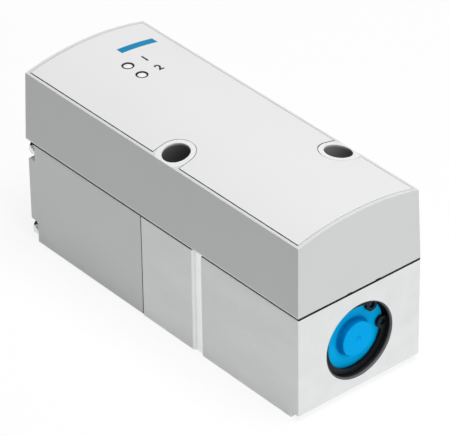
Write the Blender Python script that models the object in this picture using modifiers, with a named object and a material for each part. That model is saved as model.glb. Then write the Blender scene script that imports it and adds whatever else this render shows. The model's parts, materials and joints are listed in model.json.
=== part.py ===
"""Electro pneumatic regulator: a piloted pressure regulating valve under a moulded hood.

X runs along the unit towards the blue end cap, Y across it, Z up. The origin is the centre of the underside.
A spring loads the poppet against its seat from the end cap's side. The diaphragm at the joint between the
two blocks pushes the hollow stem onto the poppet: forward, it opens the supply; back, it vents the outlet
through the stem. Two small solenoid valves in the pilot block raise and lower the pressure on the diaphragm.
"""
from math import asin, cos, pi, sin

import bmesh
import bpy
from mathutils import Vector

mm = 0.001

# Clearances
seat_gap = 0.3 * mm            # between a piece and the face that it rests on
running_gap = 0.15 * mm        # round a sliding or guided piece, on the radius
overrun = 1.0 * mm             # how far a cutting shape runs on past the face that it opens

# Whole unit
body_width = 45.0 * mm
body_height = 34.25 * mm
pilot_block_lift = 0.25 * mm   # underside of the pilot block above the valve body's
pilot_tab_depth = 3.0 * mm
pilot_block_short = 0.8 * mm   # the pilot block's rear face ends this much before the hood's

# Hood
hood_joint = 0.5 * mm          # open line between hood and body
hood_side_height = 22.45 * mm
hood_wall = 2.5 * mm
hood_roof = 2.5 * mm
hood_draft = 0.6 * mm          # lean of each wall over the side height
hood_edge_round = 0.9 * mm
crown_rise = 2.8 * mm
crown_facets = 12

# Mounting screws, reached through the hood
mount_hole_r = 2.25 * mm
mount_well_r = 4.1 * mm
mount_seat_r = 3.9 * mm
mount_seat_sink = 0.2 * mm
mount_inset = 5.4 * mm         # from the long face to the screw's axis
rear_mount_reach = 10.025 * mm  # from the joint face
front_mount_reach = 28.325 * mm  # from the end face

# Label panel on the crown
label_thickness = 0.5 * mm
label_joint = 0.18 * mm
label_border_side = 1.15 * mm
label_border_end = 1.3 * mm
label_cutout_r = 5.7 * mm

# Hood seal
seal_lip = 0.6 * mm
seal_width = 0.9 * mm
seal_squeeze_gap = 0.15 * mm
seal_depth = 1.0 * mm
vent_notch_width = 1.8 * mm
vent_notch_height = 0.4 * mm
vent_notch_y = (-3.8 * mm, 6.5 * mm)

# Main bore, turned from the end cap's side and from the joint face
bore_height = 17.2 * mm
bore_r = 11.75 * mm
cap_shoulder_r = 11.0 * mm
cap_shoulder_depth = 14.6 * mm
supply_chamber_length = 17.725 * mm
seat_lip_height = 1.0 * mm
seat_r = 5.0 * mm
seat_lip_width = 0.9 * mm
neck_length = 14.0 * mm        # from the guide's bore to the supply chamber
guide_bore_r = 8.0 * mm
guide_bore_length = 15.425 * mm
feedback_r = 12.5 * mm
feedback_depth = 4.6 * mm
diaphragm_seat_r = 15.0 * mm
corner_chamfer = 0.3 * mm

# End cap and its ring
cap_face_depth = 3.1 * mm
cap_boss_r = 5.4 * mm
cap_boss_foot_r = 6.5 * mm
cap_boss_height = 2.4 * mm
cap_spring_seat_depth = 14.3 * mm
cap_guide_r = 4.2 * mm
cap_guide_length = 4.5 * mm
ring_thickness = 1.0 * mm
ring_groove_depth = 0.6 * mm
ring_width = 2.3 * mm
ring_lug_r = 2.5 * mm
ring_lug_place_r = 9.7 * mm
ring_lug_hole_r = 1.1 * mm
ring_lug_angles = (52.6, 2.4)  # degrees from +Y towards +Z
cap_seal_r = 0.85 * mm
cap_seal_place = 7.6 * mm      # depth of the seal below the block's end face

# Poppet and spring
poppet_r = 8.0 * mm
poppet_thickness = 3.2 * mm
poppet_disc_r = 6.8 * mm
poppet_disc_thickness = 1.6 * mm
poppet_disc_sunk = 1.0 * mm
poppet_stem_r = 2.9 * mm
poppet_stem_length = 15.5 * mm
poppet_travel = 1.2 * mm
spring_wire_r = 0.5 * mm
spring_coil_r = 5.1 * mm
spring_turns = 4

# Stem, diaphragm and guide
stem_r = 2.0 * mm
stem_bore_r = 0.9 * mm
stem_thread_r = 1.5 * mm
stem_thread_length = 5.2 * mm
vent_travel = 0.8 * mm
plate_r = 8.0 * mm
plate_thickness = 1.2 * mm
diaphragm_thickness = 0.9 * mm
convolution_r = 1.5 * mm
stem_nut_flats = 5.5 * mm
stem_nut_height = 2.0 * mm
gallery_r = 5.2 * mm
guide_land = 1.2 * mm          # metal between the gallery and the grooves of the seals
guide_seal_r = 0.75 * mm
stem_seal_r = 0.5 * mm
guide_seal_inset = 2.3 * mm     # from each end of the guide
guide_vent_r = 1.3 * mm

# Ports on the far long face
port_bore_r = 4.4 * mm
port_depth = 8.0 * mm
port_face_r = 7.2 * mm
port_face_sink = 0.3 * mm
port_passage_r = 2.8 * mm
supply_port_inset = 2.225 * mm  # from the cap's shoulder

# Outer shape of the valve body
end_rebate_length = 3.2 * mm
end_rebate_height = 2.0 * mm
side_groove_reach = 22.225 * mm  # from the joint face
side_groove_width = 4.3 * mm
side_groove_depth = 0.8 * mm
body_edge = 0.25 * mm

# Screws: head radius, head height and shank radius of the common M3 size
screw_head_r = 2.75 * mm
screw_head_height = 3.0 * mm
screw_r = 1.5 * mm
screw_socket_flats = 2.5 * mm
screw_socket_depth = 1.4 * mm
block_screw_inset = 3.2 * mm    # from the long face to the screw's axis
block_screw_low = 3.5 * mm
block_screw_drop = 2.75 * mm    # of the upper screws, below the top face
block_screw_grip = 5.6 * mm    # thread held in the valve body
notch_low_room = 0.95 * mm      # round a screw head in its corner notch
notch_high_room = 0.3 * mm
notch_side_room = 0.75 * mm
hood_screw_sink = 3.6 * mm
hood_screw_hold = 9.0 * mm
hood_boss_r = 3.2 * mm
front_hood_screw_inset = (10.325 * mm, 5.5 * mm)  # from the end face and from the long face
rear_hood_screw_inset = (16.325 * mm, 9.0 * mm)

# Pilot block
pilot_pocket_width = 14.6 * mm
pilot_pocket_floor = 10.25 * mm
pilot_wall = 2.675 * mm        # between the diaphragm's chamber and the first pocket
pocket_wall = 2.4 * mm
pilot_rear_depth = 11.725 * mm  # from the last pocket to the rear face
nozzle_r = 1.5 * mm
nozzle_bore_r = 0.6 * mm
nozzle_height = 2.2 * mm
passage_r = 0.9 * mm
feed_y = -11.0 * mm
feed_drop = 3.45 * mm           # of the drilled feed passage, below the top face
feed_level = 7.8 * mm          # the drilled crossing below the fill valve
vent_level = 5.4 * mm          # the drilled run below the vent valve
filter_length = 2.0 * mm

# Solenoid valves
coil_bottom_r = 5.2 * mm
coil_top_sink = 0.5 * mm
coil_edge = 1.0 * mm
valve_seal_r = 0.6 * mm
plunger_r = 2.8 * mm
plunger_body_length = 7.2 * mm
plunger_spigot_r = 1.1 * mm
plunger_spigot_length = 3.6 * mm
plunger_travel = 0.4 * mm
plunger_spring_room = 1.2 * mm  # above the spigot at full travel
plunger_spring_wire_r = 0.25 * mm
plunger_spring_turns = 3
terminal_r = 0.35 * mm
terminal_spacing = 8.0 * mm

# Circuit board
board_standoff = 3.25 * mm
board_thickness = 1.6 * mm
board_rear_inset = 7.825 * mm
board_front_inset = 6.325 * mm
board_side_room = 3.5 * mm     # between the board and the hood's side walls
board_post_inset = 4.0 * mm     # of the board's screws from its long edges
board_gap = 0.6 * mm           # between the board's cut-outs and the hood's posts
post_r = 2.4 * mm
board_screw_r = 1.0 * mm
board_screw_head_r = 1.9 * mm
board_screw_head_height = 1.3 * mm
board_screw_length = 6.5 * mm
block_post_reach = (6.475 * mm, 40.475 * mm)  # from the pilot block's front face
spacer_reach = (21.225 * mm, 57.225 * mm)  # from the joint face
led_height = 1.0 * mm
light_reach = (20.725 * mm, 27.125 * mm)  # from the rear face
light_y = 0.0 * mm
light_pipe_r = 1.5 * mm
light_window_r = 1.72 * mm
light_flange_r = 2.3 * mm
light_flange_height = 1.0 * mm
light_sleeve_r = 2.9 * mm
light_sleeve_length = 3.0 * mm
sensor_size = 7.0 * mm
sensor_nozzle_r = 1.6 * mm
sensor_well_r = 3.2 * mm
sensor_well_depth = 2.0 * mm
sensor_seal_r = 0.5 * mm
chip_size = 9.0 * mm
chip_height = 1.2 * mm
chip_reach = 5.225 * mm         # from the joint face

# Electrical plug in the hood's rear wall
plug_rim = 2.25 * mm           # wall left below the plug's flange
plug_r = 5.95 * mm
plug_reach = 9.3 * mm
plug_socket_r = 4.9 * mm
plug_socket_depth = 8.5 * mm
plug_face_sink = 0.75 * mm
plug_flange_r = 8.0 * mm
plug_flange_thickness = 1.8 * mm
plug_tail_r = 6.5 * mm
plug_tail_length = 5.2 * mm
plug_seal_r = 0.5 * mm
plug_nut_thickness = 2.2 * mm
plug_nut_flats = 15.5 * mm
pin_r = 0.5 * mm
pin_circle_r = 3.5 * mm
pin_drop_inset = 1.6 * mm       # of the first pin, from the board's rear edge
pin_drop_step = 1.7 * mm

# Facets round a turned piece
fine = 28
medium = 16
small = 12
tiny = 8

# Places that follow from the sizes above
half_width = body_width / 2
pilot_chamber_depth = stem_thread_length + vent_travel
pilot_block_length = pilot_chamber_depth + pilot_wall + 2 * pilot_pocket_width + pocket_wall + pilot_rear_depth
diaphragm_floor_depth = diaphragm_thickness + seat_gap
valve_body_length = (diaphragm_floor_depth + feedback_depth + guide_bore_length + neck_length
                     + supply_chamber_length + cap_shoulder_depth)
unit_length = valve_body_length + seat_gap + pilot_block_length + pilot_block_short
near_x = unit_length / 2
rear_x = -unit_length / 2
joint_x = near_x - valve_body_length
block_front_x = joint_x - seat_gap
block_rear_x = rear_x + pilot_block_short
fill_valve_x = block_front_x - pilot_chamber_depth - pilot_wall - pilot_pocket_width / 2
vent_valve_x = fill_valve_x - pilot_pocket_width - pocket_wall
feed_z = body_height - feed_drop
hood_bottom = body_height + hood_joint
hood_side_top = hood_bottom + hood_side_height
hood_top = hood_side_top + crown_rise
crown_half = half_width - hood_draft
mount_offset_y = half_width - mount_inset
mounts = ((joint_x + rear_mount_reach, -mount_offset_y), (near_x - front_mount_reach, mount_offset_y))
front_hood_screw = (near_x - front_hood_screw_inset[0], front_hood_screw_inset[1] - half_width)
rear_hood_screw = (rear_x + rear_hood_screw_inset[0], half_width - rear_hood_screw_inset[1])
board_bottom = body_height + board_standoff
board_top = board_bottom + board_thickness
board_rear_x = rear_x + board_rear_inset
board_front_x = near_x - board_front_inset
board_half_width = half_width - hood_wall - board_side_room
board_post_y = board_half_width - board_post_inset
block_post_places = ((block_front_x - block_post_reach[1], -board_post_y),
                     (block_front_x - block_post_reach[0], board_post_y))
spacer_places = ((joint_x + spacer_reach[0], -board_post_y), (joint_x + spacer_reach[1], board_post_y))
light_x = [rear_x + reach for reach in light_reach]
plug_height = hood_bottom + plug_rim + plug_flange_r
ring_front_x = near_x - cap_face_depth + seat_gap + ring_thickness
diaphragm_front_x = joint_x + diaphragm_thickness
diaphragm_floor_x = joint_x + diaphragm_floor_depth
feedback_floor_x = diaphragm_floor_x + feedback_depth
guide_rear_x = feedback_floor_x + seat_gap
guide_front_x = feedback_floor_x + guide_bore_length - seat_gap
gallery_x = (guide_rear_x + guide_front_x) / 2
neck_x = feedback_floor_x + guide_bore_length
work_port_x = neck_x + neck_length / 2
chamber_floor_x = neck_x + neck_length
supply_port_x = chamber_floor_x + supply_chamber_length - supply_port_inset
seat_x = chamber_floor_x + seat_lip_height
disc_x = seat_x + seat_gap
poppet_rear_x = disc_x + poppet_disc_thickness - poppet_disc_sunk
poppet_front_x = poppet_rear_x + poppet_thickness
well_wall_r = mount_well_r + hood_wall
block_screw_y = half_width - block_screw_inset
block_screw_high = body_height - block_screw_drop
block_screw_places = [(side * block_screw_y, z) for side in (-1, 1)
                      for z in (block_screw_low, block_screw_high)]
ball_seat_depth = 2 * screw_r
feed_well_r = passage_r + 2 * stem_seal_r + 2 * running_gap


def collection(name):
    made = bpy.data.collections.new(name)
    bpy.context.scene.collection.children.link(made)
    return made


for old in list(bpy.data.objects):
    bpy.data.objects.remove(old)
parts = collection("electro_pneumatic_regulator")
cutters = collection("cutters")


def material(name, colour, roughness, metallic=0.0):
    made = bpy.data.materials.new(name)
    made.use_nodes = True
    shader = made.node_tree.nodes["Principled BSDF"]
    shader.inputs["Base Color"].default_value = (*colour, 1.0)
    shader.inputs["Roughness"].default_value = roughness
    shader.inputs["Metallic"].default_value = metallic
    return made


def as_cutter(obj):
    """Put a shape among the cutters, where it shapes the parts but isn't one."""
    for group in list(obj.users_collection):
        group.objects.unlink(obj)
    cutters.objects.link(obj)
    obj.hide_render = True
    obj.display_type = "WIRE"
    return obj


def as_part(obj, finish, smooth=False):
    """Put a shape among the parts and give it its material."""
    for group in list(obj.users_collection):
        group.objects.unlink(obj)
    parts.objects.link(obj)
    obj.data.materials.clear()
    obj.data.materials.append(finish)
    if smooth:
        obj.data.shade_smooth()
        obj.data.set_sharp_from_angle(angle=0.6)
    return obj


def mesh_object(name, bm, location=(0, 0, 0), direction=None):
    """A new object from a bmesh, its local Z turned to the direction."""
    mesh = bpy.data.meshes.new(name)
    bm.to_mesh(mesh)
    bm.free()
    obj = bpy.data.objects.new(name, mesh)
    obj.location = location
    if direction is not None:
        obj.rotation_euler = Vector(direction).to_track_quat("Z", "Y").to_euler()
    parts.objects.link(obj)
    return obj


def box(name, low, high):
    low, high = Vector(low), Vector(high)
    bm = bmesh.new()
    bmesh.ops.create_cube(bm, size=1.0)
    bmesh.ops.scale(bm, vec=high - low, verts=bm.verts)
    return mesh_object(name, bm, (low + high) / 2)


def rod(name, radius, start, end, sides=tiny):
    start, end = Vector(start), Vector(end)
    bm = bmesh.new()
    bmesh.ops.create_cone(bm, cap_ends=True, segments=sides, radius1=radius, radius2=radius,
                          depth=(end - start).length)
    return mesh_object(name, bm, (start + end) / 2, end - start)


def turned(name, profile, centre, direction, sides=medium):
    """Revolve (radius, height) points, top to bottom down the outer side, about the direction.

    A profile that doesn't start on the axis is a ring, and is closed on its inner side.
    """
    bm = bmesh.new()
    points = [bm.verts.new((radius, 0, height)) for radius, height in profile]
    for a, b in zip(points, points[1:]):
        bm.edges.new((a, b))
    if profile[0][0] > 0:
        bm.edges.new((points[-1], points[0]))
    obj = mesh_object(name, bm, centre, direction)
    screw = obj.modifiers.new("Revolve", "SCREW")
    screw.steps = screw.render_steps = sides
    screw.use_merge_vertices = True
    screw.merge_threshold = 0.00001
    return obj


def on_bore(name, profile, sides=medium):
    """A piece turned about the main bore, its heights given as places along X."""
    return turned(name, profile, (0, 0, bore_height), (1, 0, 0), sides)


def torus(name, radius, section_r, centre, direction, sides=small, section_sides=5):
    bpy.ops.mesh.primitive_torus_add(
        major_radius=radius, minor_radius=section_r, major_segments=sides, minor_segments=section_sides,
        location=centre, rotation=Vector(direction).to_track_quat("Z", "Y").to_euler())
    obj = bpy.context.object
    obj.name = obj.data.name = name
    return obj


def settle(obj):
    """Replace an object's mesh or curve by its evaluated mesh, with the loose seams welded."""
    shape = obj.evaluated_get(bpy.context.evaluated_depsgraph_get())
    mesh = bpy.data.meshes.new_from_object(shape)
    bm = bmesh.new()
    bm.from_mesh(mesh)
    bmesh.ops.remove_doubles(bm, verts=bm.verts, dist=0.000001)
    bmesh.ops.recalc_face_normals(bm, faces=bm.faces)
    bm.to_mesh(mesh)
    bm.free()
    name = obj.name
    placed = bpy.data.objects.new(name, mesh)
    placed.matrix_world = obj.matrix_world.copy()
    parts.objects.link(placed)
    bpy.data.objects.remove(obj)
    placed.name = mesh.name = name
    return placed


PRISM_TURNS = {"X": (pi / 2, 0, pi / 2), "Y": (pi / 2, 0, 0), "Z": (0, 0, 0)}


def prism(name, outlines, low, high, axis="Z"):
    """Flat outlines filled and extruded along an axis from low to high; an inner outline is a hole.

    The outline's two coordinates are (y, z) along X, (x, z) along Y and (x, y) along Z.
    """
    curve = bpy.data.curves.new(name, "CURVE")
    curve.dimensions = "2D"
    curve.fill_mode = "BOTH"
    curve.extrude = (high - low) / 2
    for outline in outlines:
        spline = curve.splines.new("POLY")
        spline.points.add(len(outline) - 1)
        for point, (a, b) in zip(spline.points, outline):
            point.co = (a, b, 0, 1)
        spline.use_cyclic_u = True
    obj = bpy.data.objects.new(name, curve)
    obj.rotation_euler = PRISM_TURNS[axis]
    middle = (low + high) / 2
    obj.location = {"X": (middle, 0, 0), "Y": (0, middle, 0), "Z": (0, 0, middle)}[axis]
    parts.objects.link(obj)
    bpy.context.view_layer.update()
    return settle(obj)


def boolean(obj, operation, tools):
    for tool in tools:
        modifier = obj.modifiers.new(tool.name, "BOOLEAN")
        modifier.operation = operation
        modifier.object = as_cutter(tool)
    return obj


def cut(obj, *tools):
    return boolean(obj, "DIFFERENCE", tools)


def join(obj, *tools):
    return boolean(obj, "UNION", tools)


def keep_within(obj, *tools):
    return boolean(obj, "INTERSECT", tools)


def soften(obj, width, segments=1):
    """Round or chamfer the sharp edges that a shape has so far."""
    bevel = obj.modifiers.new("Edges", "BEVEL")
    bevel.width = width
    bevel.segments = segments
    bevel.limit_method = "ANGLE"
    return obj


def arc(centre_a, centre_b, radius, start, end, facets):
    """Points along an arc, with both ends, the angles in radians."""
    return [(centre_a + radius * cos(start + (end - start) * i / facets),
             centre_b + radius * sin(start + (end - start) * i / facets)) for i in range(facets + 1)]


def crown_line(drop=0.0, half=crown_half):
    """The crown across the unit from -half to +half, lowered by a drop, as (y, z) points."""
    radius = (crown_half ** 2 + crown_rise ** 2) / (2 * crown_rise)
    reach = asin(half / radius)
    return arc(0, hood_top - radius - drop, radius, pi / 2 + reach, pi / 2 - reach, crown_facets)


def notched_outline(rear, front, half_y, notch_r, facets=10):
    """A rectangle with a U notch in its long sides round each mounting screw, counterclockwise."""
    (ax, ay), (bx, by) = mounts
    return [
        (rear, -half_y), (ax - notch_r, -half_y),
        *arc(ax, ay, notch_r, pi, 0, facets),
        (ax + notch_r, -half_y), (front, -half_y),
        (front, half_y), (bx + notch_r, half_y),
        *arc(bx, by, notch_r, 0, -pi, facets),
        (bx - notch_r, half_y), (rear, half_y)]


def coil(name, radius, wire_r, turns, start, end, centre, direction, around=10, resolution=2):
    """A compression spring whose wire lies between two heights, with a closed turn at each end."""
    curve = bpy.data.curves.new(name, "CURVE")
    curve.dimensions = "3D"
    curve.bevel_depth = wire_r
    curve.bevel_resolution = resolution
    curve.use_fill_caps = True
    spline = curve.splines.new("POLY")
    steps = (turns + 2) * around
    spline.points.add(steps)
    closed_pitch = 2.3 * wire_r
    low, high = start + wire_r, end - wire_r
    open_rise = high - low - 2 * closed_pitch
    for i, point in enumerate(spline.points):
        turn = i / around
        rise = closed_pitch * min(turn, 1)
        rise += open_rise * min(max(turn - 1, 0), turns) / turns
        rise += closed_pitch * max(turn - 1 - turns, 0)
        angle = 2 * pi * turn
        point.co = (radius * cos(angle), radius * sin(angle), low + rise, 1)
    obj = bpy.data.objects.new(name, curve)
    obj.location = centre
    obj.rotation_euler = Vector(direction).to_track_quat("Z", "Y").to_euler()
    parts.objects.link(obj)
    bpy.context.view_layer.update()
    return settle(obj)


def hexagon(name, flats, start, end):
    return rod(name, flats / 2 / cos(pi / 6), start, end, sides=6)


def cap_screw(name, under_head, direction, length, finish):
    """A socket head screw: under_head is the point where head and shank meet."""
    under_head, direction = Vector(under_head), Vector(direction)
    profile = [
        (0, length), (screw_r, length), (screw_r, 0),
        (screw_head_r, 0), (screw_head_r, corner_chamfer - screw_head_height),
        (screw_head_r - corner_chamfer, -screw_head_height), (0, -screw_head_height)]
    screw = turned(name, profile, under_head, direction, small)
    head_end = under_head - direction * (screw_head_height + seat_gap)
    socket_end = under_head - direction * (screw_head_height - screw_socket_depth)
    cut(screw, hexagon(name + "_socket", screw_socket_flats, head_end, socket_end))
    return as_part(screw, finish, smooth=True)


hood_grey = material("hood_grey", (0.74, 0.75, 0.76), 0.42)
label_white = material("label_white", (0.80, 0.81, 0.82), 0.35)
window_white = material("window_white", (0.90, 0.91, 0.90), 0.2)
block_grey = material("block_grey", (0.44, 0.46, 0.46), 0.5)
milled_aluminium = material("milled_aluminium", (0.80, 0.81, 0.82), 0.32, 1.0)
cap_blue = material("cap_blue", (0.0, 0.36, 0.80), 0.35)
ring_black = material("ring_black", (0.02, 0.02, 0.02), 0.4, 0.6)
rubber = material("rubber", (0.02, 0.02, 0.02), 0.7)
steel = material("steel", (0.62, 0.62, 0.63), 0.3, 1.0)
brass = material("brass", (0.78, 0.60, 0.32), 0.3, 1.0)
bronze = material("bronze", (0.55, 0.38, 0.20), 0.7, 0.8)
coil_black = material("coil_black", (0.03, 0.03, 0.035), 0.5)
board_green = material("board_green", (0.02, 0.22, 0.10), 0.45)
chip_black = material("chip_black", (0.02, 0.02, 0.02), 0.45)
nickel = material("nickel", (0.70, 0.69, 0.66), 0.28, 1.0)
gold = material("gold", (0.85, 0.65, 0.28), 0.25, 1.0)


def make_hood():
    """The hood: a drafted block with a crowned top, hollowed round its wells, bosses and sleeves."""
    above = hood_top + hood_wall
    below = hood_bottom - hood_wall
    slope = hood_draft / hood_side_height
    foot_y = half_width + slope * hood_wall
    hood = prism("cover", [[(-foot_y, below), (foot_y, below), *reversed(crown_line())]],
                 rear_x - hood_wall, near_x + hood_wall, "X")
    foot_x, head_x = near_x + slope * hood_wall, near_x - slope * (above - hood_bottom)
    ends = [(-foot_x, below), (foot_x, below), (head_x, above), (-head_x, above)]
    keep_within(hood, prism("hood_ends", [ends], -body_width, body_width, "Y"))
    soften(hood, hood_edge_round, 3)
    cut(hood, box("hood_foot", (-unit_length, -body_width, 0), (unit_length, body_width, hood_bottom)))

    inner_half = half_width - hood_wall
    ceiling = crown_line(hood_roof, crown_half - hood_wall)
    inside = [(-inner_half, below), (inner_half, below), *reversed(ceiling)]
    cavity = prism("cavity", [inside], rear_x + hood_wall, near_x - hood_wall, "X")
    low = hood_bottom - 2 * hood_wall
    posts = [(x, y, well_wall_r) for x, y in mounts]
    posts += [(x, y, hood_boss_r) for x, y in (front_hood_screw, rear_hood_screw)]
    for number, (x, y, radius) in enumerate(posts, 1):
        cut(cavity, rod(f"post_{number}", radius, (x, y, low), (x, y, above), medium))
    sleeve_end = hood_top - hood_roof - light_sleeve_length
    for number, x in enumerate(light_x, 1):
        cut(cavity, rod(f"sleeve_{number}", light_sleeve_r, (x, light_y, sleeve_end),
                        (x, light_y, above), small))
    cut(hood, settle(cavity))

    for number, (x, y) in enumerate(mounts, 1):
        cut(hood, rod(f"well_{number}", mount_well_r, (x, y, low), (x, y, above), medium))
    for number, (x, y) in enumerate((front_hood_screw, rear_hood_screw), 1):
        cut(hood, rod(f"boss_hole_{number}", screw_r + running_gap, (x, y, low),
                      (x, y, hood_bottom + hood_screw_hold + overrun)))
    for number, x in enumerate(light_x, 1):
        cut(hood, rod(f"light_hole_{number}", light_pipe_r + seat_gap, (x, light_y, low),
                      (x, light_y, above), small))

    recess = prism("label_recess", [label_outline(label_joint)], hood_bottom, above)
    recess_roof = [*crown_line(label_thickness + seat_gap), (body_width, hood_side_top), (body_width, above),
                   (-body_width, above), (-body_width, hood_side_top)]
    keep_within(recess, prism("recess_depth", [list(reversed(recess_roof))], -unit_length, unit_length, "X"))
    cut(hood, settle(recess))

    groove = [seal_outline(-seal_squeeze_gap), seal_outline(seal_width + seal_squeeze_gap)]
    cut(hood, prism("seal_groove", groove, low, hood_bottom + seal_depth + seat_gap))
    for number, y in enumerate(vent_notch_y, 1):
        cut(hood, box(f"vent_notch_{number}", (near_x - hood_wall / 2, y - vent_notch_width / 2, low),
                      (near_x + hood_wall, y + vent_notch_width / 2, hood_bottom + vent_notch_height)))

    plug_face = rear_x + plug_face_sink
    cut(hood, rod("plug_face", plug_flange_r + seat_gap, (rear_x - hood_wall, 0, plug_height),
                  (plug_face, 0, plug_height), medium),
        rod("plug_hole", plug_tail_r + seat_gap, (rear_x - hood_wall, 0, plug_height),
            (rear_x + 2 * hood_wall, 0, plug_height), medium))
    return as_part(hood, hood_grey, smooth=True)


def label_outline(grow=0.0):
    """The label panel seen from above, grown by a joint for its recess."""
    rear = rear_x + hood_draft + label_border_end - grow
    front = near_x - hood_draft - label_border_end + grow
    return notched_outline(rear, front, crown_half - label_border_side + grow, label_cutout_r - grow)


def seal_outline(inset):
    """The seal's path seen from above: along the walls, and round each well on its inner side."""
    edge = seal_lip + inset
    return notched_outline(rear_x + edge, near_x - edge, half_width - edge, mount_well_r + edge)


def make_label():
    """The label panel: a thin sheet that follows the crown."""
    panel = prism("label_panel", [label_outline()], hood_bottom, hood_top + hood_wall)
    sheet = [*crown_line(), *reversed(crown_line(label_thickness))]
    keep_within(panel, prism("label_sheet", [list(reversed(sheet))], -unit_length, unit_length, "X"))
    for number, x in enumerate(light_x, 1):
        cut(panel, rod(f"light_window_{number}", light_window_r, (x, light_y, hood_bottom),
                       (x, light_y, hood_top + hood_wall), small))
    return as_part(panel, label_white)


def make_hood_seal():
    """The hood's gasket, in the groove of the hood's rim."""
    path = [seal_outline(0), seal_outline(seal_width)]
    seal = prism("cover_seal", path, body_height + seal_squeeze_gap, hood_bottom + seal_depth)
    return as_part(seal, rubber)


def bore_profile():
    """The main bore, from the end face down to the seat and out through the joint face."""
    shoulder = near_x - cap_shoulder_depth
    groove_front = ring_front_x + running_gap
    groove_rear = ring_front_x - ring_thickness - running_gap
    groove_r = bore_r + ring_groove_depth
    lip_r = seat_r + seat_lip_width
    return [
        (0, near_x + overrun), (bore_r + corner_chamfer, near_x + overrun), (bore_r + corner_chamfer, near_x),
        (bore_r, near_x - corner_chamfer),
        (bore_r, groove_front), (groove_r, groove_front), (groove_r, groove_rear), (bore_r, groove_rear),
        (bore_r, shoulder), (cap_shoulder_r, shoulder), (cap_shoulder_r, chamber_floor_x),
        (lip_r, chamber_floor_x), (seat_r + corner_chamfer, seat_x), (seat_r, seat_x - corner_chamfer),
        (seat_r, neck_x), (guide_bore_r, neck_x), (guide_bore_r, feedback_floor_x),
        (feedback_r, feedback_floor_x), (feedback_r, diaphragm_floor_x),
        (diaphragm_seat_r, diaphragm_floor_x), (diaphragm_seat_r, joint_x - overrun), (0, joint_x - overrun)]


def port_cutter(name, x, reach_y):
    """A threaded port on the far face: spot face, chamfer, bore and the passage to its chamber."""
    floor = half_width - port_face_sink
    chamfer = port_bore_r / 8
    profile = [
        (0, half_width + overrun), (port_face_r, half_width + overrun), (port_face_r, floor),
        (port_bore_r + chamfer, floor), (port_bore_r, floor - chamfer), (port_bore_r, half_width - port_depth),
        (port_passage_r, half_width - port_depth - overrun), (port_passage_r, reach_y), (0, reach_y)]
    return turned(name, profile, (x, 0, bore_height), (0, 1, 0), medium)


def hood_screw_hole(name, place, underside):
    """The counterbored hole of a hood screw, up through a block."""
    x, y = place
    bottom = underside - overrun
    head_r = screw_head_r + seat_gap
    shank_r = screw_r + 2 * running_gap
    profile = [
        (0, body_height + overrun), (shank_r, body_height + overrun), (shank_r, underside + hood_screw_sink),
        (head_r, underside + hood_screw_sink), (head_r, bottom), (0, bottom)]
    return turned(name, profile, (x, y, 0), (0, 0, 1), small)


def make_valve_body():
    """The machined block: main bore, three ports, screw holes, passages, end rebate and side groove."""
    block = box("valve_body", (joint_x, -half_width, 0), (near_x, half_width, body_height))
    soften(block, body_edge)
    cut(block, box("end_rebate", (near_x - end_rebate_length, -body_width, -end_rebate_height),
                   (near_x + end_rebate_length, body_width, end_rebate_height)))
    left, depth = joint_x + side_groove_reach, side_groove_depth
    right = left + side_groove_width
    outline = [(left, -half_width), (left + depth, depth - half_width), (right, depth - half_width),
               (right, -half_width - depth), (left, -half_width - depth)]
    cut(block, prism("side_groove", [list(reversed(outline))], -body_height, 2 * body_height))
    cut(block, on_bore("main_bore", bore_profile(), fine))
    cut(block,
        port_cutter("exhaust_port", gallery_x, guide_bore_r - overrun),
        port_cutter("work_port", work_port_x, seat_r - 2 * overrun),
        port_cutter("supply_port", supply_port_x, cap_shoulder_r - overrun))
    for number, (x, y) in enumerate(mounts, 1):
        cut(block, rod(f"mount_hole_{number}", mount_hole_r, (x, y, -overrun), (x, y, body_height + overrun), small),
            rod(f"mount_seat_{number}", mount_seat_r, (x, y, body_height - mount_seat_sink),
                (x, y, body_height + overrun), medium))
    cut(block, hood_screw_hole("front_hood_screw_hole", front_hood_screw, 0))
    for number, (y, z) in enumerate(block_screw_places, 1):
        cut(block, rod(f"block_thread_{number}", screw_r + running_gap, (joint_x - overrun, y, z),
                       (joint_x + block_screw_grip + seat_gap, y, z)))

    deck = body_height + overrun
    well = [(0, deck), (sensor_well_r, deck), (sensor_well_r, body_height - sensor_well_depth),
            (passage_r, body_height - sensor_well_depth), (passage_r, bore_height), (0, bore_height)]
    cut(block, turned("sensing_passage", well, (work_port_x, 0, 0), (0, 0, 1), small))
    feedback_z = bore_height + (guide_bore_r + feedback_r) / 2
    cut(block, rod("feedback_passage", passage_r, (feedback_floor_x - overrun, 0, feedback_z),
                   (work_port_x, 0, feedback_z)))
    plug_r = screw_r + running_gap
    feed_end = supply_port_x
    cut(block, rod("feed_passage", passage_r, (joint_x - overrun, feed_y, feed_z),
                   (feed_end + passage_r / 2, feed_y, feed_z)),
        rod("feed_drop", passage_r, (feed_end, feed_y, bore_height), (feed_end, feed_y, deck)),
        rod("feed_plug_hole", plug_r, (feed_end, feed_y, body_height - ball_seat_depth - seat_gap),
            (feed_end, feed_y, deck)),
        rod("feed_seal_well", feed_well_r, (joint_x - overrun, feed_y, feed_z),
            (joint_x + 2 * stem_seal_r + seat_gap, feed_y, feed_z), small))
    for number, (x, y) in enumerate(spacer_places, 1):
        cut(block, rod(f"spacer_thread_{number}", board_screw_r + running_gap,
                       (x, y, body_height - board_screw_length), (x, y, deck)))
    return as_part(block, milled_aluminium, smooth=True)


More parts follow.
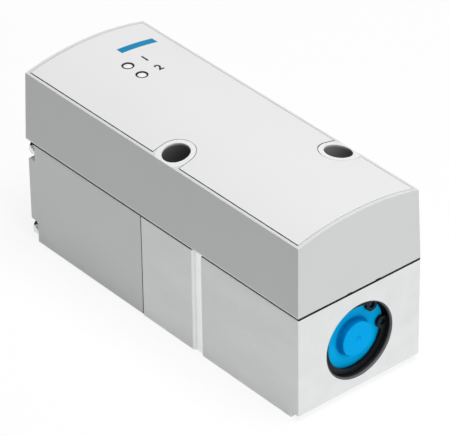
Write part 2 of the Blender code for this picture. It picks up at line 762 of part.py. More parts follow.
def make_pilot_block():
    """The moulded pilot block: diaphragm chamber, two valve pockets, passages, rear corner notches."""
    low, high = pilot_block_lift, body_height
    block = box("pilot_block", (block_rear_x, -half_width, low), (block_front_x, half_width, high))
    floor = block_rear_x + pilot_tab_depth
    low_top = block_screw_low + screw_head_r + notch_low_room
    high_bottom = block_screw_high - screw_head_r - notch_high_room
    notch_y = block_screw_y - screw_head_r - notch_side_room
    for side in (-1, 1):
        inner, outer = sorted((side * notch_y, side * body_width))
        for name, bottom, top in (("low", -body_height, low_top), ("high", high_bottom, 2 * body_height)):
            cut(block, box(f"notch_{name}_{side + 2}", (block_rear_x - pilot_tab_depth, inner, bottom),
                           (floor, outer, top)))
    soften(block, body_edge)

    chamber_floor = block_front_x - pilot_chamber_depth
    cut(block, rod("pilot_chamber", feedback_r, (chamber_floor, 0, bore_height),
                   (block_front_x + overrun, 0, bore_height), fine))
    half_pocket = pilot_pocket_width / 2
    for name, x in (("fill", fill_valve_x), ("vent", vent_valve_x)):
        pocket = box(f"{name}_pocket", (x - half_pocket, -half_pocket, pilot_pocket_floor),
                     (x + half_pocket, half_pocket, high + overrun))
        cut(pocket, rod(f"{name}_nozzle", nozzle_r, (x, 0, pilot_pocket_floor - overrun),
                        (x, 0, pilot_pocket_floor + nozzle_height), small))
        cut(block, settle(pocket))

    above = pilot_pocket_floor + nozzle_height + overrun
    cut(block,
        rod("feed_run", passage_r, (fill_valve_x - passage_r / 2, feed_y, feed_z),
            (block_front_x + overrun, feed_y, feed_z)),
        rod("feed_fall", passage_r, (fill_valve_x, feed_y, feed_level - 2 * passage_r),
            (fill_valve_x, feed_y, feed_z + 2 * passage_r)),
        rod("feed_cross", passage_r, (fill_valve_x, feed_y - passage_r / 2, feed_level),
            (fill_valve_x, passage_r / 2, feed_level)),
        rod("fill_nozzle_bore", nozzle_bore_r, (fill_valve_x, 0, feed_level), (fill_valve_x, 0, above)),
        rod("fill_outlet", passage_r, (fill_valve_x, 2 * nozzle_r, pilot_pocket_floor + 2 * passage_r),
            (chamber_floor + overrun, 2 * nozzle_r, pilot_pocket_floor + 2 * passage_r)),
        rod("vent_run", nozzle_bore_r, (vent_valve_x - nozzle_bore_r / 2, 0, vent_level),
            (chamber_floor + overrun, 0, vent_level)),
        rod("vent_nozzle_bore", nozzle_bore_r, (vent_valve_x, 0, vent_level - 2 * nozzle_bore_r),
            (vent_valve_x, 0, above)),
        rod("vent_outlet", passage_r, (vent_valve_x, 2 * nozzle_r, -overrun),
            (vent_valve_x, 2 * nozzle_r, pilot_pocket_floor + overrun)),
        rod("filter_well", feed_well_r, (block_front_x - filter_length - seat_gap, feed_y, feed_z),
            (block_front_x + overrun, feed_y, feed_z), small))
    for number, (y, z) in enumerate(block_screw_places, 1):
        cut(block, rod(f"block_screw_hole_{number}", screw_r + 2 * running_gap, (block_rear_x - overrun, y, z),
                       (block_front_x + overrun, y, z)))
    cut(block, hood_screw_hole("rear_hood_screw_hole", rear_hood_screw, low))
    for number, (x, y) in enumerate(block_post_places, 1):
        join(block, rod(f"board_post_{number}", post_r, (x, y, high - overrun), (x, y, board_bottom - seat_gap), small))
    for number, (x, y) in enumerate(block_post_places, 1):
        cut(block, rod(f"post_hole_{number}", board_screw_r + running_gap, (x, y, board_bottom - board_screw_length),
                       (x, y, board_bottom + overrun)))
    return as_part(block, block_grey, smooth=True)


def make_end_cap():
    """The blue cap: boss with a hollow foot, seal groove, spring seat and the poppet's guide."""
    face = near_x - cap_face_depth
    skirt_r = bore_r - seat_gap
    base = near_x - cap_spring_seat_depth
    groove_r = bore_r - running_gap - 2 * cap_seal_r - seat_gap
    seal_x = near_x - cap_seal_place
    half_groove = cap_seal_r + seat_gap
    bore_end = poppet_front_x + poppet_stem_length + poppet_travel + overrun
    guide_r = poppet_stem_r + running_gap
    guide_end = base - cap_guide_length
    foot = arc(cap_boss_foot_r, face + cap_boss_foot_r - cap_boss_r,
               cap_boss_foot_r - cap_boss_r, pi, 3 * pi / 2, 3)
    cap = on_bore("end_cap", [
        (0, face + cap_boss_height), (cap_boss_r - corner_chamfer, face + cap_boss_height),
        (cap_boss_r, face + cap_boss_height - corner_chamfer), *foot,
        (skirt_r - corner_chamfer, face), (skirt_r, face - corner_chamfer),
        (skirt_r, seal_x + half_groove), (groove_r, seal_x + half_groove),
        (groove_r, seal_x - half_groove), (skirt_r, seal_x - half_groove), (skirt_r, base),
        (cap_guide_r, base), (cap_guide_r, guide_end), (guide_r, guide_end), (guide_r, bore_end), (0, bore_end)],
        fine)
    seal = torus("end_cap_seal", bore_r - running_gap - cap_seal_r, cap_seal_r,
                 (seal_x, 0, bore_height), (1, 0, 0), medium)
    return as_part(cap, cap_blue, smooth=True), as_part(seal, rubber, smooth=True)


def make_retaining_ring():
    """The internal ring: an open band, narrow at its back, with two pierced lugs at its ends."""
    outer_r = bore_r + ring_groove_depth - running_gap
    inner_r = outer_r - ring_width
    degree = pi / 180
    first, last = (angle * degree for angle in ring_lug_angles)
    half_lug = asin(ring_lug_r / ring_lug_place_r)
    start = first - half_lug / 3
    end = last + half_lug / 3 + 2 * pi
    band = arc(0, bore_height, outer_r, start, end, fine) + arc(0, bore_height, inner_r, end, start, medium)
    ring = prism("end_cap_ring", [band], ring_front_x - ring_thickness, ring_front_x, "X")
    for number, angle in enumerate((first, last), 1):
        y = ring_lug_place_r * cos(angle)
        z = bore_height + ring_lug_place_r * sin(angle)
        join(ring, rod(f"lug_{number}", ring_lug_r, (ring_front_x - ring_thickness, y, z),
                       (ring_front_x, y, z), small))
    bpy.context.view_layer.update()
    for number, angle in enumerate((first, last), 1):
        y = ring_lug_place_r * cos(angle)
        z = bore_height + ring_lug_place_r * sin(angle)
        cut(ring, rod(f"lug_hole_{number}", ring_lug_hole_r, (ring_front_x - 2 * ring_thickness, y, z),
                      (ring_front_x + ring_thickness, y, z)))
    return as_part(ring, ring_black)


def make_poppet():
    """The poppet with its rubber disc, and the spring between it and the end cap."""
    rear, front = poppet_rear_x, poppet_front_x
    stem_end = front + poppet_stem_length
    pocket_r = poppet_disc_r + seat_gap
    pocket_floor = disc_x + poppet_disc_thickness + seat_gap
    poppet = on_bore("poppet", [
        (0, stem_end), (poppet_stem_r - corner_chamfer, stem_end), (poppet_stem_r, stem_end - corner_chamfer),
        (poppet_stem_r, front), (poppet_r - corner_chamfer, front), (poppet_r, front - corner_chamfer),
        (poppet_r, rear), (pocket_r, rear), (pocket_r, pocket_floor), (0, pocket_floor)])
    disc = on_bore("poppet_disc", [
        (0, disc_x + poppet_disc_thickness), (poppet_disc_r, disc_x + poppet_disc_thickness),
        (poppet_disc_r, disc_x), (0, disc_x)])
    spring = coil("poppet_spring", spring_coil_r, spring_wire_r, spring_turns, front + seat_gap,
                  near_x - cap_spring_seat_depth - seat_gap, (0, 0, bore_height), (1, 0, 0), 8, 1)
    return as_part(poppet, brass, smooth=True), as_part(disc, rubber), as_part(spring, steel, smooth=True)


def make_stem():
    """The hollow stem with its plate, the plate behind the diaphragm and the nut that clamps them."""
    plate_rear = diaphragm_front_x + seat_gap
    plate_front = plate_rear + plate_thickness
    tip = seat_x
    thread_end = joint_x - stem_thread_length
    stem = on_bore("stem", [
        (stem_bore_r, tip), (stem_r - corner_chamfer, tip), (stem_r, tip - 2 * corner_chamfer),
        (stem_r, plate_front + corner_chamfer), (stem_r + corner_chamfer, plate_front), (plate_r, plate_front),
        (plate_r, plate_rear), (stem_thread_r, plate_rear), (stem_thread_r, thread_end), (0, thread_end),
        (0, gallery_x - 2 * stem_bore_r), (stem_bore_r, gallery_x - 2 * stem_bore_r)], small)
    stem = settle(stem)
    reach = 2 * stem_r
    cut(stem, rod("stem_vent", stem_bore_r, (gallery_x, 0, bore_height - reach),
                  (gallery_x, 0, bore_height + reach), tiny))
    back = joint_x - seat_gap
    back_plate_end = back - plate_thickness
    hole_r = stem_thread_r + running_gap
    plate = on_bore("diaphragm_plate", [(plate_r, back), (plate_r, back_plate_end), (hole_r, back_plate_end),
                                        (hole_r, back)], medium)
    nut_front = back_plate_end - seat_gap
    nut = hexagon("stem_nut", stem_nut_flats, (nut_front - stem_nut_height, 0, bore_height),
                  (nut_front, 0, bore_height))
    cut(nut, rod("nut_bore", hole_r, (nut_front - 2 * stem_nut_height, 0, bore_height),
                 (nut_front + overrun, 0, bore_height)))
    return as_part(stem, steel, smooth=True), as_part(plate, steel, smooth=True), as_part(nut, steel)


def make_diaphragm():
    """The rolling diaphragm: a flat centre, one convolution towards the pilot side, a clamped rim."""
    front, rear = diaphragm_front_x, joint_x
    rim_r = diaphragm_seat_r - seat_gap
    middle_r = (plate_r + feedback_r) / 2 + running_gap
    fold_r = convolution_r + diaphragm_thickness / 2
    fold_inner_r = convolution_r - diaphragm_thickness / 2
    hole_r = stem_thread_r + running_gap
    inner_fold = arc(middle_r, front - diaphragm_thickness, fold_inner_r, 0, -pi, 5)
    outer_fold = arc(middle_r, front - diaphragm_thickness, fold_r, -pi, 0, 5)
    profile = [(rim_r, front), (rim_r, rear), *reversed(outer_fold), (hole_r, rear), (hole_r, front),
               (middle_r - fold_inner_r, front), *reversed(inner_fold), (middle_r + fold_inner_r, front)]
    return as_part(on_bore("diaphragm", profile, small), rubber, smooth=True)


def make_stem_guide():
    """The brass guide pressed in behind the seat, its gallery open to the exhaust port, and its seals."""
    rear, front = guide_rear_x, guide_front_x
    outer_r = guide_bore_r - seat_gap
    bore = stem_r + running_gap
    outer_groove_r = guide_bore_r - running_gap - 2 * guide_seal_r - seat_gap
    inner_groove_r = stem_r + running_gap + 2 * stem_seal_r + seat_gap
    half_outer = guide_seal_r + seat_gap
    half_inner = stem_seal_r + running_gap
    half_gallery = (front - rear) / 2 - guide_seal_inset - half_outer - guide_land
    seals = (front - guide_seal_inset, rear + guide_seal_inset)
    profile = [(outer_r, front)]
    for x, after in ((seals[0], True), (seals[1], False)):
        profile += [(outer_r, x + half_outer), (outer_groove_r, x + half_outer),
                    (outer_groove_r, x - half_outer), (outer_r, x - half_outer)]
        if after:
            profile += [(outer_r, gallery_x + half_gallery), (gallery_r, gallery_x + half_gallery),
                        (gallery_r, gallery_x - half_gallery), (outer_r, gallery_x - half_gallery)]
    profile += [(outer_r, rear), (bore, rear)]
    for x in reversed(seals):
        profile += [(bore, x - half_inner), (inner_groove_r, x - half_inner),
                    (inner_groove_r, x + half_inner), (bore, x + half_inner)]
    profile += [(bore, front)]
    guide = settle(on_bore("stem_guide", profile, small))
    for name, direction in (("y", Vector((0, 1, 0))), ("z", Vector((0, 0, 1)))):
        centre = Vector((gallery_x, 0, bore_height))
        cut(guide, rod(f"guide_vent_{name}", guide_vent_r, centre - direction * guide_bore_r,
                       centre + direction * guide_bore_r, tiny))
    made = [as_part(guide, brass, smooth=True)]
    for number, x in enumerate(seals, 1):
        made.append(as_part(torus(f"guide_seal_{number}", guide_bore_r - running_gap - guide_seal_r, guide_seal_r,
                                  (x, 0, bore_height), (1, 0, 0), small), rubber, smooth=True))
        made.append(as_part(torus(f"stem_seal_{number}", stem_r + running_gap + stem_seal_r, stem_seal_r,
                                  (x, 0, bore_height), (1, 0, 0), small), rubber, smooth=True))
    return made


def make_block_screws():
    """The four long screws that clamp the pilot block to the valve body."""
    under_head = block_rear_x + pilot_tab_depth - seat_gap
    length = joint_x + block_screw_grip - under_head
    return [cap_screw(f"block_screw_{number}", (under_head, y, z), (1, 0, 0), length, steel)
            for number, (y, z) in enumerate(block_screw_places, 1)]


def make_hood_screws():
    """The two screws that hold the hood from the underside."""
    made = []
    for number, ((x, y), underside) in enumerate(((front_hood_screw, 0), (rear_hood_screw, pilot_block_lift)), 1):
        under_head = underside + hood_screw_sink - seat_gap
        made.append(cap_screw(f"cover_screw_{number}", (x, y, under_head), (0, 0, 1),
                              hood_bottom + hood_screw_hold - under_head, steel))
    return made


def make_pilot_valve(name, x):
    """A small solenoid valve in its pocket: coil body, plunger on the nozzle, spring and seal."""
    floor = pilot_pocket_floor
    bottom = floor + 2 * valve_seal_r + 2 * seat_gap
    top = body_height - coil_top_sink
    half = pilot_pocket_width / 2 - seat_gap
    bore = plunger_r + running_gap
    face = floor + nozzle_height + seat_gap
    shoulder = face + plunger_body_length
    spring_seat = shoulder + plunger_spigot_length + plunger_travel + plunger_spring_room
    body = box(f"{name}_coil", (x - half, -half, bottom), (x + half, half, top))
    soften(body, coil_edge)
    cut(body, rod(f"{name}_bore", bore, (x, 0, floor), (x, 0, spring_seat), small))
    for side in (-1, 1):
        place = x + side * terminal_spacing / 2
        join(body, rod(f"{name}_terminal_{side + 2}", terminal_r, (place, 0, top - overrun),
                       (place, 0, board_top - seat_gap), tiny))
    plunger = turned(f"{name}_plunger", [
        (0, shoulder + plunger_spigot_length), (plunger_spigot_r, shoulder + plunger_spigot_length),
        (plunger_spigot_r, shoulder), (plunger_r, shoulder), (plunger_r, face + corner_chamfer),
        (plunger_r - corner_chamfer, face), (0, face)], (x, 0, 0), (0, 0, 1), small)
    spring_r = (plunger_r + plunger_spigot_r) / 2
    spring = coil(f"{name}_spring", spring_r, plunger_spring_wire_r, plunger_spring_turns, shoulder + running_gap,
                  spring_seat - running_gap, (x, 0, 0), (0, 0, 1), 7, 0)
    seal = torus(f"{name}_seal", coil_bottom_r, valve_seal_r, (x, 0, floor + seat_gap + valve_seal_r),
                 (0, 0, 1), small)
    return (as_part(body, coil_black), as_part(plunger, steel, smooth=True), as_part(spring, steel, smooth=True),
            as_part(seal, rubber, smooth=True))


def make_feed_pieces():
    """What stands in the feed passage: the seal at the joint, the filter disc and the closing ball."""
    seal = torus("feed_seal", passage_r + running_gap + stem_seal_r, stem_seal_r,
                 (joint_x + stem_seal_r, feed_y, feed_z), (1, 0, 0), small)
    start = block_front_x - filter_length
    disc = rod("pilot_filter", feed_well_r - running_gap, (start, feed_y, feed_z),
               (block_front_x, feed_y, feed_z), small)
    bm = bmesh.new()
    bmesh.ops.create_uvsphere(bm, u_segments=tiny, v_segments=8, radius=screw_r)
    ball = mesh_object("passage_ball", bm, (supply_port_x, feed_y, body_height - screw_r - running_gap))
    return (as_part(seal, rubber, smooth=True), as_part(disc, bronze, smooth=True),
            as_part(ball, steel, smooth=True))


def pin_places():
    """The four contacts about the plug's axis, and where each one goes down to the board."""
    drop = board_rear_x + pin_drop_inset
    step = pin_drop_step
    return [
        (0, -pin_circle_r, drop), (pin_circle_r, 0, drop + step),
        (-pin_circle_r, 0, drop + step), (0, pin_circle_r, drop + 2 * step)]


def make_board():
    """The circuit board with its lamps, pressure sensor and controller, its screws and spacers."""
    board = box("circuit_board", (board_rear_x, -board_half_width, board_bottom),
                (board_front_x, board_half_width, board_top))
    low, high = board_bottom - overrun, board_top + overrun
    holes = [(x, y, well_wall_r + board_gap, medium) for x, y in mounts]
    holes += [(x, y, hood_boss_r + board_gap, small) for x, y in (front_hood_screw, rear_hood_screw)]
    holes += [(x, y, board_screw_r + seat_gap, tiny) for x, y in block_post_places + spacer_places]
    holes += [(x, y, pin_r + seat_gap, tiny) for y, _, x in pin_places()]
    holes += [(x + side * terminal_spacing / 2, 0, terminal_r + seat_gap, tiny)
              for x in (fill_valve_x, vent_valve_x) for side in (-1, 1)]
    for number, (x, y, radius, sides) in enumerate(holes, 1):
        cut(board, rod(f"board_hole_{number}", radius, (x, y, low), (x, y, high), sides))
    made = [as_part(board, board_green)]

    on_board = board_top + seat_gap
    for name, x in zip(("power", "error"), light_x):
        led = box(f"{name}_led", (x - led_height, light_y - led_height, on_board),
                  (x + led_height, light_y + led_height, on_board + led_height))
        made.append(as_part(led, window_white))
    chip_x = joint_x + chip_reach
    chip = box("controller_chip", (chip_x - chip_size / 2, -chip_size / 2, on_board),
               (chip_x + chip_size / 2, chip_size / 2, on_board + chip_height))
    made.append(as_part(chip, chip_black))

    half = sensor_size / 2
    x = work_port_x
    sensor_low = body_height + seat_gap
    well_floor = body_height - sensor_well_depth
    sensor = box("pressure_sensor", (x - half, -half, sensor_low), (x + half, half, board_bottom - seat_gap))
    join(sensor, rod("sensor_nozzle", sensor_nozzle_r, (x, 0, well_floor + seat_gap),
                     (x, 0, sensor_low + overrun), small))
    cut(sensor, rod("sensor_bore", nozzle_bore_r, (x, 0, well_floor), (x, 0, sensor_low + overrun), tiny))
    made.append(as_part(sensor, chip_black))
    seal_r = sensor_nozzle_r + running_gap + sensor_seal_r
    made.append(as_part(torus("sensor_seal", seal_r, sensor_seal_r, (x, 0, well_floor + seat_gap + sensor_seal_r),
                              (0, 0, 1), small), rubber, smooth=True))

    head_r, shank_r = board_screw_head_r, board_screw_r
    for number, (x, y) in enumerate(block_post_places + spacer_places, 1):
        seat = board_top + seat_gap
        screw = turned(f"board_screw_{number}", [
            (0, seat + board_screw_head_height), (head_r / 2, seat + board_screw_head_height),
            (head_r, seat + board_screw_head_height / 3), (head_r, seat), (shank_r, seat),
            (shank_r, seat - board_screw_length), (0, seat - board_screw_length)], (x, y, 0), (0, 0, 1), tiny)
        made.append(as_part(screw, steel, smooth=True))
    for number, (x, y) in enumerate(spacer_places, 1):
        bottom, top = body_height + seat_gap, board_bottom - seat_gap
        bore = board_screw_r + running_gap
        spacer = turned(f"board_spacer_{number}", [(post_r, top), (post_r, bottom), (bore, bottom), (bore, top)],
                        (x, y, 0), (0, 0, 1), tiny)
        made.append(as_part(spacer, brass, smooth=True))
    return made


def make_light_pipes():
    """The two clear pipes from the lamps up to their windows in the label."""
    bottom = board_top + seat_gap + led_height + seat_gap
    flange_top = hood_top - hood_roof - light_sleeve_length - seat_gap
    dome = light_pipe_r / 5
    made = []
    for name, x in zip(("power", "error"), light_x):
        pipe = turned(f"{name}_light_pipe", [
            (0, hood_top), (light_pipe_r / 2, hood_top - dome / 4), (light_pipe_r, hood_top - dome),
            (light_pipe_r, flange_top), (light_flange_r, flange_top),
            (light_flange_r, flange_top - light_flange_height), (light_pipe_r, flange_top - light_flange_height),
            (light_pipe_r, bottom), (0, bottom)], (x, light_y, 0), (0, 0, 1), small)
        made.append(as_part(pipe, window_white, smooth=True))
    return made


def make_plug():
    """The round plug in the rear wall: threaded shell, insert, four bent pins, seal and nut."""
    wall_outer = rear_x + plug_face_sink
    wall_inner = rear_x + hood_wall
    flange_front = wall_outer - seat_gap
    flange_rear = flange_front - plug_flange_thickness
    end = rear_x - plug_reach
    tail_end = wall_inner + plug_tail_length
    socket_floor = end + plug_socket_depth
    axis = (0, 0, plug_height)
    along = (1, 0, 0)
    groove_r = plug_tail_r + running_gap + 2 * plug_seal_r + running_gap
    groove_depth = 2 * plug_seal_r - seat_gap / 2
    shell = turned("plug_shell", [
        (plug_socket_r, tail_end), (plug_tail_r, tail_end), (plug_tail_r, flange_front - groove_depth),
        (groove_r, flange_front - groove_depth), (groove_r, flange_front),
        (plug_flange_r, flange_front), (plug_flange_r, flange_rear), (plug_r, flange_rear),
        (plug_r, end + corner_chamfer), (plug_r - corner_chamfer, end), (plug_socket_r, end)],
        axis, along, medium)
    insert = rod("plug_insert", plug_socket_r - running_gap, (socket_floor, 0, plug_height),
                 (tail_end, 0, plug_height), medium)
    for number, (y, z, _) in enumerate(pin_places(), 1):
        cut(insert, rod(f"pin_hole_{number}", pin_r + running_gap, (socket_floor - overrun, y, plug_height + z),
                        (tail_end + overrun, y, plug_height + z), tiny))
    made = [as_part(shell, nickel, smooth=True), as_part(insert, coil_black, smooth=True)]

    for number, (y, z, drop_x) in enumerate(pin_places(), 1):
        curve = bpy.data.curves.new(f"plug_pin_{number}", "CURVE")
        curve.dimensions = "3D"
        curve.bevel_depth = pin_r
        curve.bevel_resolution = 1
        curve.use_fill_caps = True
        spline = curve.splines.new("POLY")
        bend = 2 * pin_r
        level = plug_height + z
        corner = [(drop_x - bend + bend * sin(a), y, level - bend + bend * cos(a)) for a in (0, pi / 4, pi / 2)]
        points = [(end + pin_circle_r / 2, y, level), *corner, (drop_x, y, board_bottom + seat_gap)]
        spline.points.add(len(points) - 1)
        for point, place in zip(spline.points, points):
            point.co = (*place, 1)
        pin = bpy.data.objects.new(f"plug_pin_{number}", curve)
        parts.objects.link(pin)
        bpy.context.view_layer.update()
        made.append(as_part(settle(pin), gold, smooth=True))

    seal = torus("plug_seal", plug_tail_r + running_gap + plug_seal_r, plug_seal_r,
                 (wall_outer - seat_gap / 2 - plug_seal_r, 0, plug_height), along, medium, 6)
    nut_rear = wall_inner + seat_gap
    nut = hexagon("plug_nut", plug_nut_flats, (nut_rear, 0, plug_height),
                  (nut_rear + plug_nut_thickness, 0, plug_height))
    cut(nut, rod("plug_nut_bore", plug_tail_r + running_gap, (nut_rear - overrun, 0, plug_height),
                 (nut_rear + 2 * plug_nut_thickness, 0, plug_height), medium))
    return made + [as_part(seal, rubber, smooth=True), as_part(nut, nickel)]


make_hood()
make_label()
make_hood_seal()
make_light_pipes()
make_valve_body()
make_pilot_block()
make_block_screws()
make_hood_screws()
make_end_cap()
make_retaining_ring()
make_poppet()
make_stem()
make_diaphragm()
make_stem_guide()
make_pilot_valve("fill_valve", fill_valve_x)
make_pilot_valve("vent_valve", vent_valve_x)
make_feed_pieces()
make_board()
make_plug()
print(len(parts.objects), "sub-parts")
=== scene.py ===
# %% [markdown]
# # An electro pneumatic regulator, dressed for its photograph
#
# The part has a moulded hood with a crowned top, a grey pilot block, a milled aluminium valve body and a
# blue end cap behind a black retaining ring. Its solids come ready made, and each surface that shows gets a
# finely modelled piece or a finish of its own here.
#
# The first cell loads the solids. Everything is in metres, +X runs towards the blue cap and +Z is up.

import json
from math import asin, atan2, cos, pi, radians, sin, sqrt

import bpy
from mathutils import Matrix, Vector


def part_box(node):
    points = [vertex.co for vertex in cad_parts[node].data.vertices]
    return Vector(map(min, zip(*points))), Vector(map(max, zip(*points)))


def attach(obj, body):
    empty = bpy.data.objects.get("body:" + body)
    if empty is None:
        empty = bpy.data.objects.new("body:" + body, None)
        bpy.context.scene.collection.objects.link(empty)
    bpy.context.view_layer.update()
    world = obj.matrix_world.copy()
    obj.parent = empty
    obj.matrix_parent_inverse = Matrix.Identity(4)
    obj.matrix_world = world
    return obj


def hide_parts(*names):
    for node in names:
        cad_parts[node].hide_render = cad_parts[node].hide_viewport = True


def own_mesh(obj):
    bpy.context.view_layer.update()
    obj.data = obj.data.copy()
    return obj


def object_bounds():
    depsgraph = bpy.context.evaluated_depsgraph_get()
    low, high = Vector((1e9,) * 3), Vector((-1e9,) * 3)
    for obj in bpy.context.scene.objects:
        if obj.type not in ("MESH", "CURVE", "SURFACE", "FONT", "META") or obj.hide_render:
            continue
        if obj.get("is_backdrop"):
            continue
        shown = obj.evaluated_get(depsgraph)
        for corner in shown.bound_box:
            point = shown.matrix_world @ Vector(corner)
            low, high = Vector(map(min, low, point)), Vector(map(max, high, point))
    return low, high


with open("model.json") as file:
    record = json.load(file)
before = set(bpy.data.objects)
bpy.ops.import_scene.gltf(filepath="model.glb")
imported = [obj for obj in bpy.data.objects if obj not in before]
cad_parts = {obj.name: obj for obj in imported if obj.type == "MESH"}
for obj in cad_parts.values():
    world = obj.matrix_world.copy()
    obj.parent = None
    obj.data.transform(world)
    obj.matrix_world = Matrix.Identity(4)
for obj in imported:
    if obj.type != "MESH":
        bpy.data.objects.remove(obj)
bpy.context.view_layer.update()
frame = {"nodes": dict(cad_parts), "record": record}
nodes = frame["nodes"]
mm = 0.001

# %% [markdown]
# ## Modelling helpers
#
# New pieces are made the way a hand would make them: a primitive is added at its size and place, shaped in
# edit mode, and finished with modifiers that are applied. The solids come in selected, and an operator acts
# on all that is selected, so every helper starts by deselecting.

# %% Start a piece
def clear_selection():
    bpy.ops.object.select_all(action="DESELECT")


def settle(name):
    """Name the object that was just added and move its place and turn into its mesh."""
    obj = bpy.context.object
    bpy.ops.object.transform_apply(location=True, rotation=True, scale=True)
    obj.name = obj.data.name = name
    return obj


def block(name, low, high):
    """A cube stretched from one corner to the other."""
    low, high = Vector(low), Vector(high)
    clear_selection()
    bpy.ops.mesh.primitive_cube_add(size=1, location=(low + high) / 2, scale=high - low)
    return settle(name)


def facing(direction):
    """The turn that brings +Z to a direction."""
    return Vector(direction).to_track_quat("Z", "Y").to_euler()


def rod(name, radius, start, end, sides=64):
    start, end = Vector(start), Vector(end)
    clear_selection()
    bpy.ops.mesh.primitive_cylinder_add(vertices=sides, radius=radius, depth=(end - start).length,
                                        location=(start + end) / 2, rotation=facing(end - start))
    return settle(name)


# %% [markdown]
# A turned piece grows from a flat disc. Its face is extruded along the axis and scaled to the next radius,
# section by section, as a lathe's profile would give it. A ring starts as a bare circle instead: its edge is
# extruded round the section, and the last loop is bridged to the first.

# %% Turn a piece
def turned(name, sections, centre, axis, sides=96, ring=False):
    """Grow a piece through (radius, height) sections along an axis."""
    first_radius, first_height = sections[0]
    clear_selection()
    bpy.ops.mesh.primitive_circle_add(vertices=sides, radius=first_radius, location=(0, 0, first_height),
                                      fill_type="NOTHING" if ring else "NGON")
    bpy.ops.object.transform_apply(location=True)
    bpy.ops.object.mode_set(mode="EDIT")
    bpy.ops.mesh.select_mode(type="EDGE" if ring else "FACE")
    bpy.ops.mesh.select_all(action="SELECT")
    radius, height = first_radius, first_height
    for new_radius, new_height in sections[1:]:
        bpy.ops.mesh.extrude_region_move(TRANSFORM_OT_translate={"value": (0, 0, new_height - height)})
        scale = new_radius / radius
        bpy.ops.transform.resize(value=(scale, scale, 1), center_override=(0, 0, new_height))
        radius, height = new_radius, new_height
    if ring:
        bpy.ops.mesh.select_all(action="DESELECT")
        bpy.ops.mesh.select_non_manifold(extend=False, use_wire=True, use_boundary=True)
        bpy.ops.mesh.bridge_edge_loops()
    bpy.ops.mesh.select_all(action="SELECT")
    bpy.ops.mesh.normals_make_consistent(inside=False)
    bpy.ops.object.mode_set(mode="OBJECT")
    obj = bpy.context.object
    obj.rotation_euler = facing(axis)
    obj.location = centre
    return settle(name)


# %% [markdown]
# To pull at a part of a shape, its points are chosen in code by where they are, and then moved or scaled with
# the operators that a hand would use.

# %% Choose points
def edit_points(obj, chosen):
    """Open a shape in edit mode with only the points selected that pass a test on their place."""
    clear_selection()
    obj.select_set(True)
    bpy.context.view_layer.objects.active = obj
    bpy.ops.object.mode_set(mode="EDIT")
    bpy.ops.mesh.select_mode(type="VERT")
    bpy.ops.mesh.select_all(action="DESELECT")
    bpy.ops.object.mode_set(mode="OBJECT")
    for vertex in obj.data.vertices:
        vertex.select = chosen(vertex.co)
    bpy.ops.object.mode_set(mode="EDIT")


# %% [markdown]
# Booleans cut and join whole shapes, and a Bevel modifier breaks the edges, because nothing real has a
# perfectly sharp one. Each modifier is applied at once, and the cutting shape is thrown away.

# %% Cut, join and round
def finish_with(obj, kind, **settings):
    """Add a modifier, set it and apply it."""
    clear_selection()
    obj.select_set(True)
    bpy.context.view_layer.objects.active = obj
    modifier = obj.modifiers.new(kind.title(), kind)
    for name, value in settings.items():
        setattr(modifier, name, value)
    bpy.ops.object.modifier_apply(modifier=modifier.name)
    return obj


def combine(obj, operation, tools):
    for tool in tools:
        finish_with(obj, "BOOLEAN", operation=operation, object=tool, solver="EXACT")
        bpy.data.objects.remove(tool)
    return obj


def cut(obj, *tools):
    return combine(obj, "DIFFERENCE", tools)


def join(obj, *tools):
    return combine(obj, "UNION", tools)


def keep_within(obj, *tools):
    return combine(obj, "INTERSECT", tools)


def mend(obj):
    """Merge points that lie on one another and take out faces without area."""
    edit_points(obj, lambda place: True)
    bpy.ops.mesh.remove_doubles(threshold=0.001 * mm)
    bpy.ops.mesh.dissolve_degenerate(threshold=0.001 * mm)
    bpy.ops.object.mode_set(mode="OBJECT")
    return obj


def soften(obj, width, segments=3, angle=30):
    return finish_with(obj, "BEVEL", width=width, segments=segments, limit_method="ANGLE",
                       angle_limit=radians(angle), use_clamp_overlap=True, miter_outer="MITER_ARC")


def smooth(obj, angle=35):
    """Shade the rounded edges smoothly, and let the large faces keep their own flat normals."""
    clear_selection()
    obj.select_set(True)
    bpy.context.view_layer.objects.active = obj
    bpy.ops.object.shade_smooth_by_angle(angle=radians(angle))
    return finish_with(obj, "WEIGHTED_NORMAL", mode="FACE_AREA", weight=80, keep_sharp=True)


def slice_off(obj, point, normal):
    """Cut a shape flat and drop what lies on the normal's side."""
    clear_selection()
    obj.select_set(True)
    bpy.context.view_layer.objects.active = obj
    bpy.ops.object.mode_set(mode="EDIT")
    bpy.ops.mesh.select_all(action="SELECT")
    bpy.ops.mesh.bisect(plane_co=point, plane_no=normal, use_fill=True, clear_outer=True, threshold=0.0001 * mm)
    bpy.ops.object.mode_set(mode="OBJECT")
    return obj


def copy_of(obj, name, offset):
    """A copy with a mesh of its own, moved by an offset."""
    made = obj.copy()
    made.data = obj.data.copy()
    made.name = made.data.name = name
    bpy.context.scene.collection.objects.link(made)
    made.data.transform(Matrix.Translation(Vector(offset)))
    return made


# %% [markdown]
# ## Writing a finish
#
# A finish is a small program of shader nodes. The class below wraps one socket, so that sums on textures can
# be written as plain Python, such as 1 - mask or grain * 0.1. Any other node comes from one method, which
# takes the node's type, its settings and its inputs.

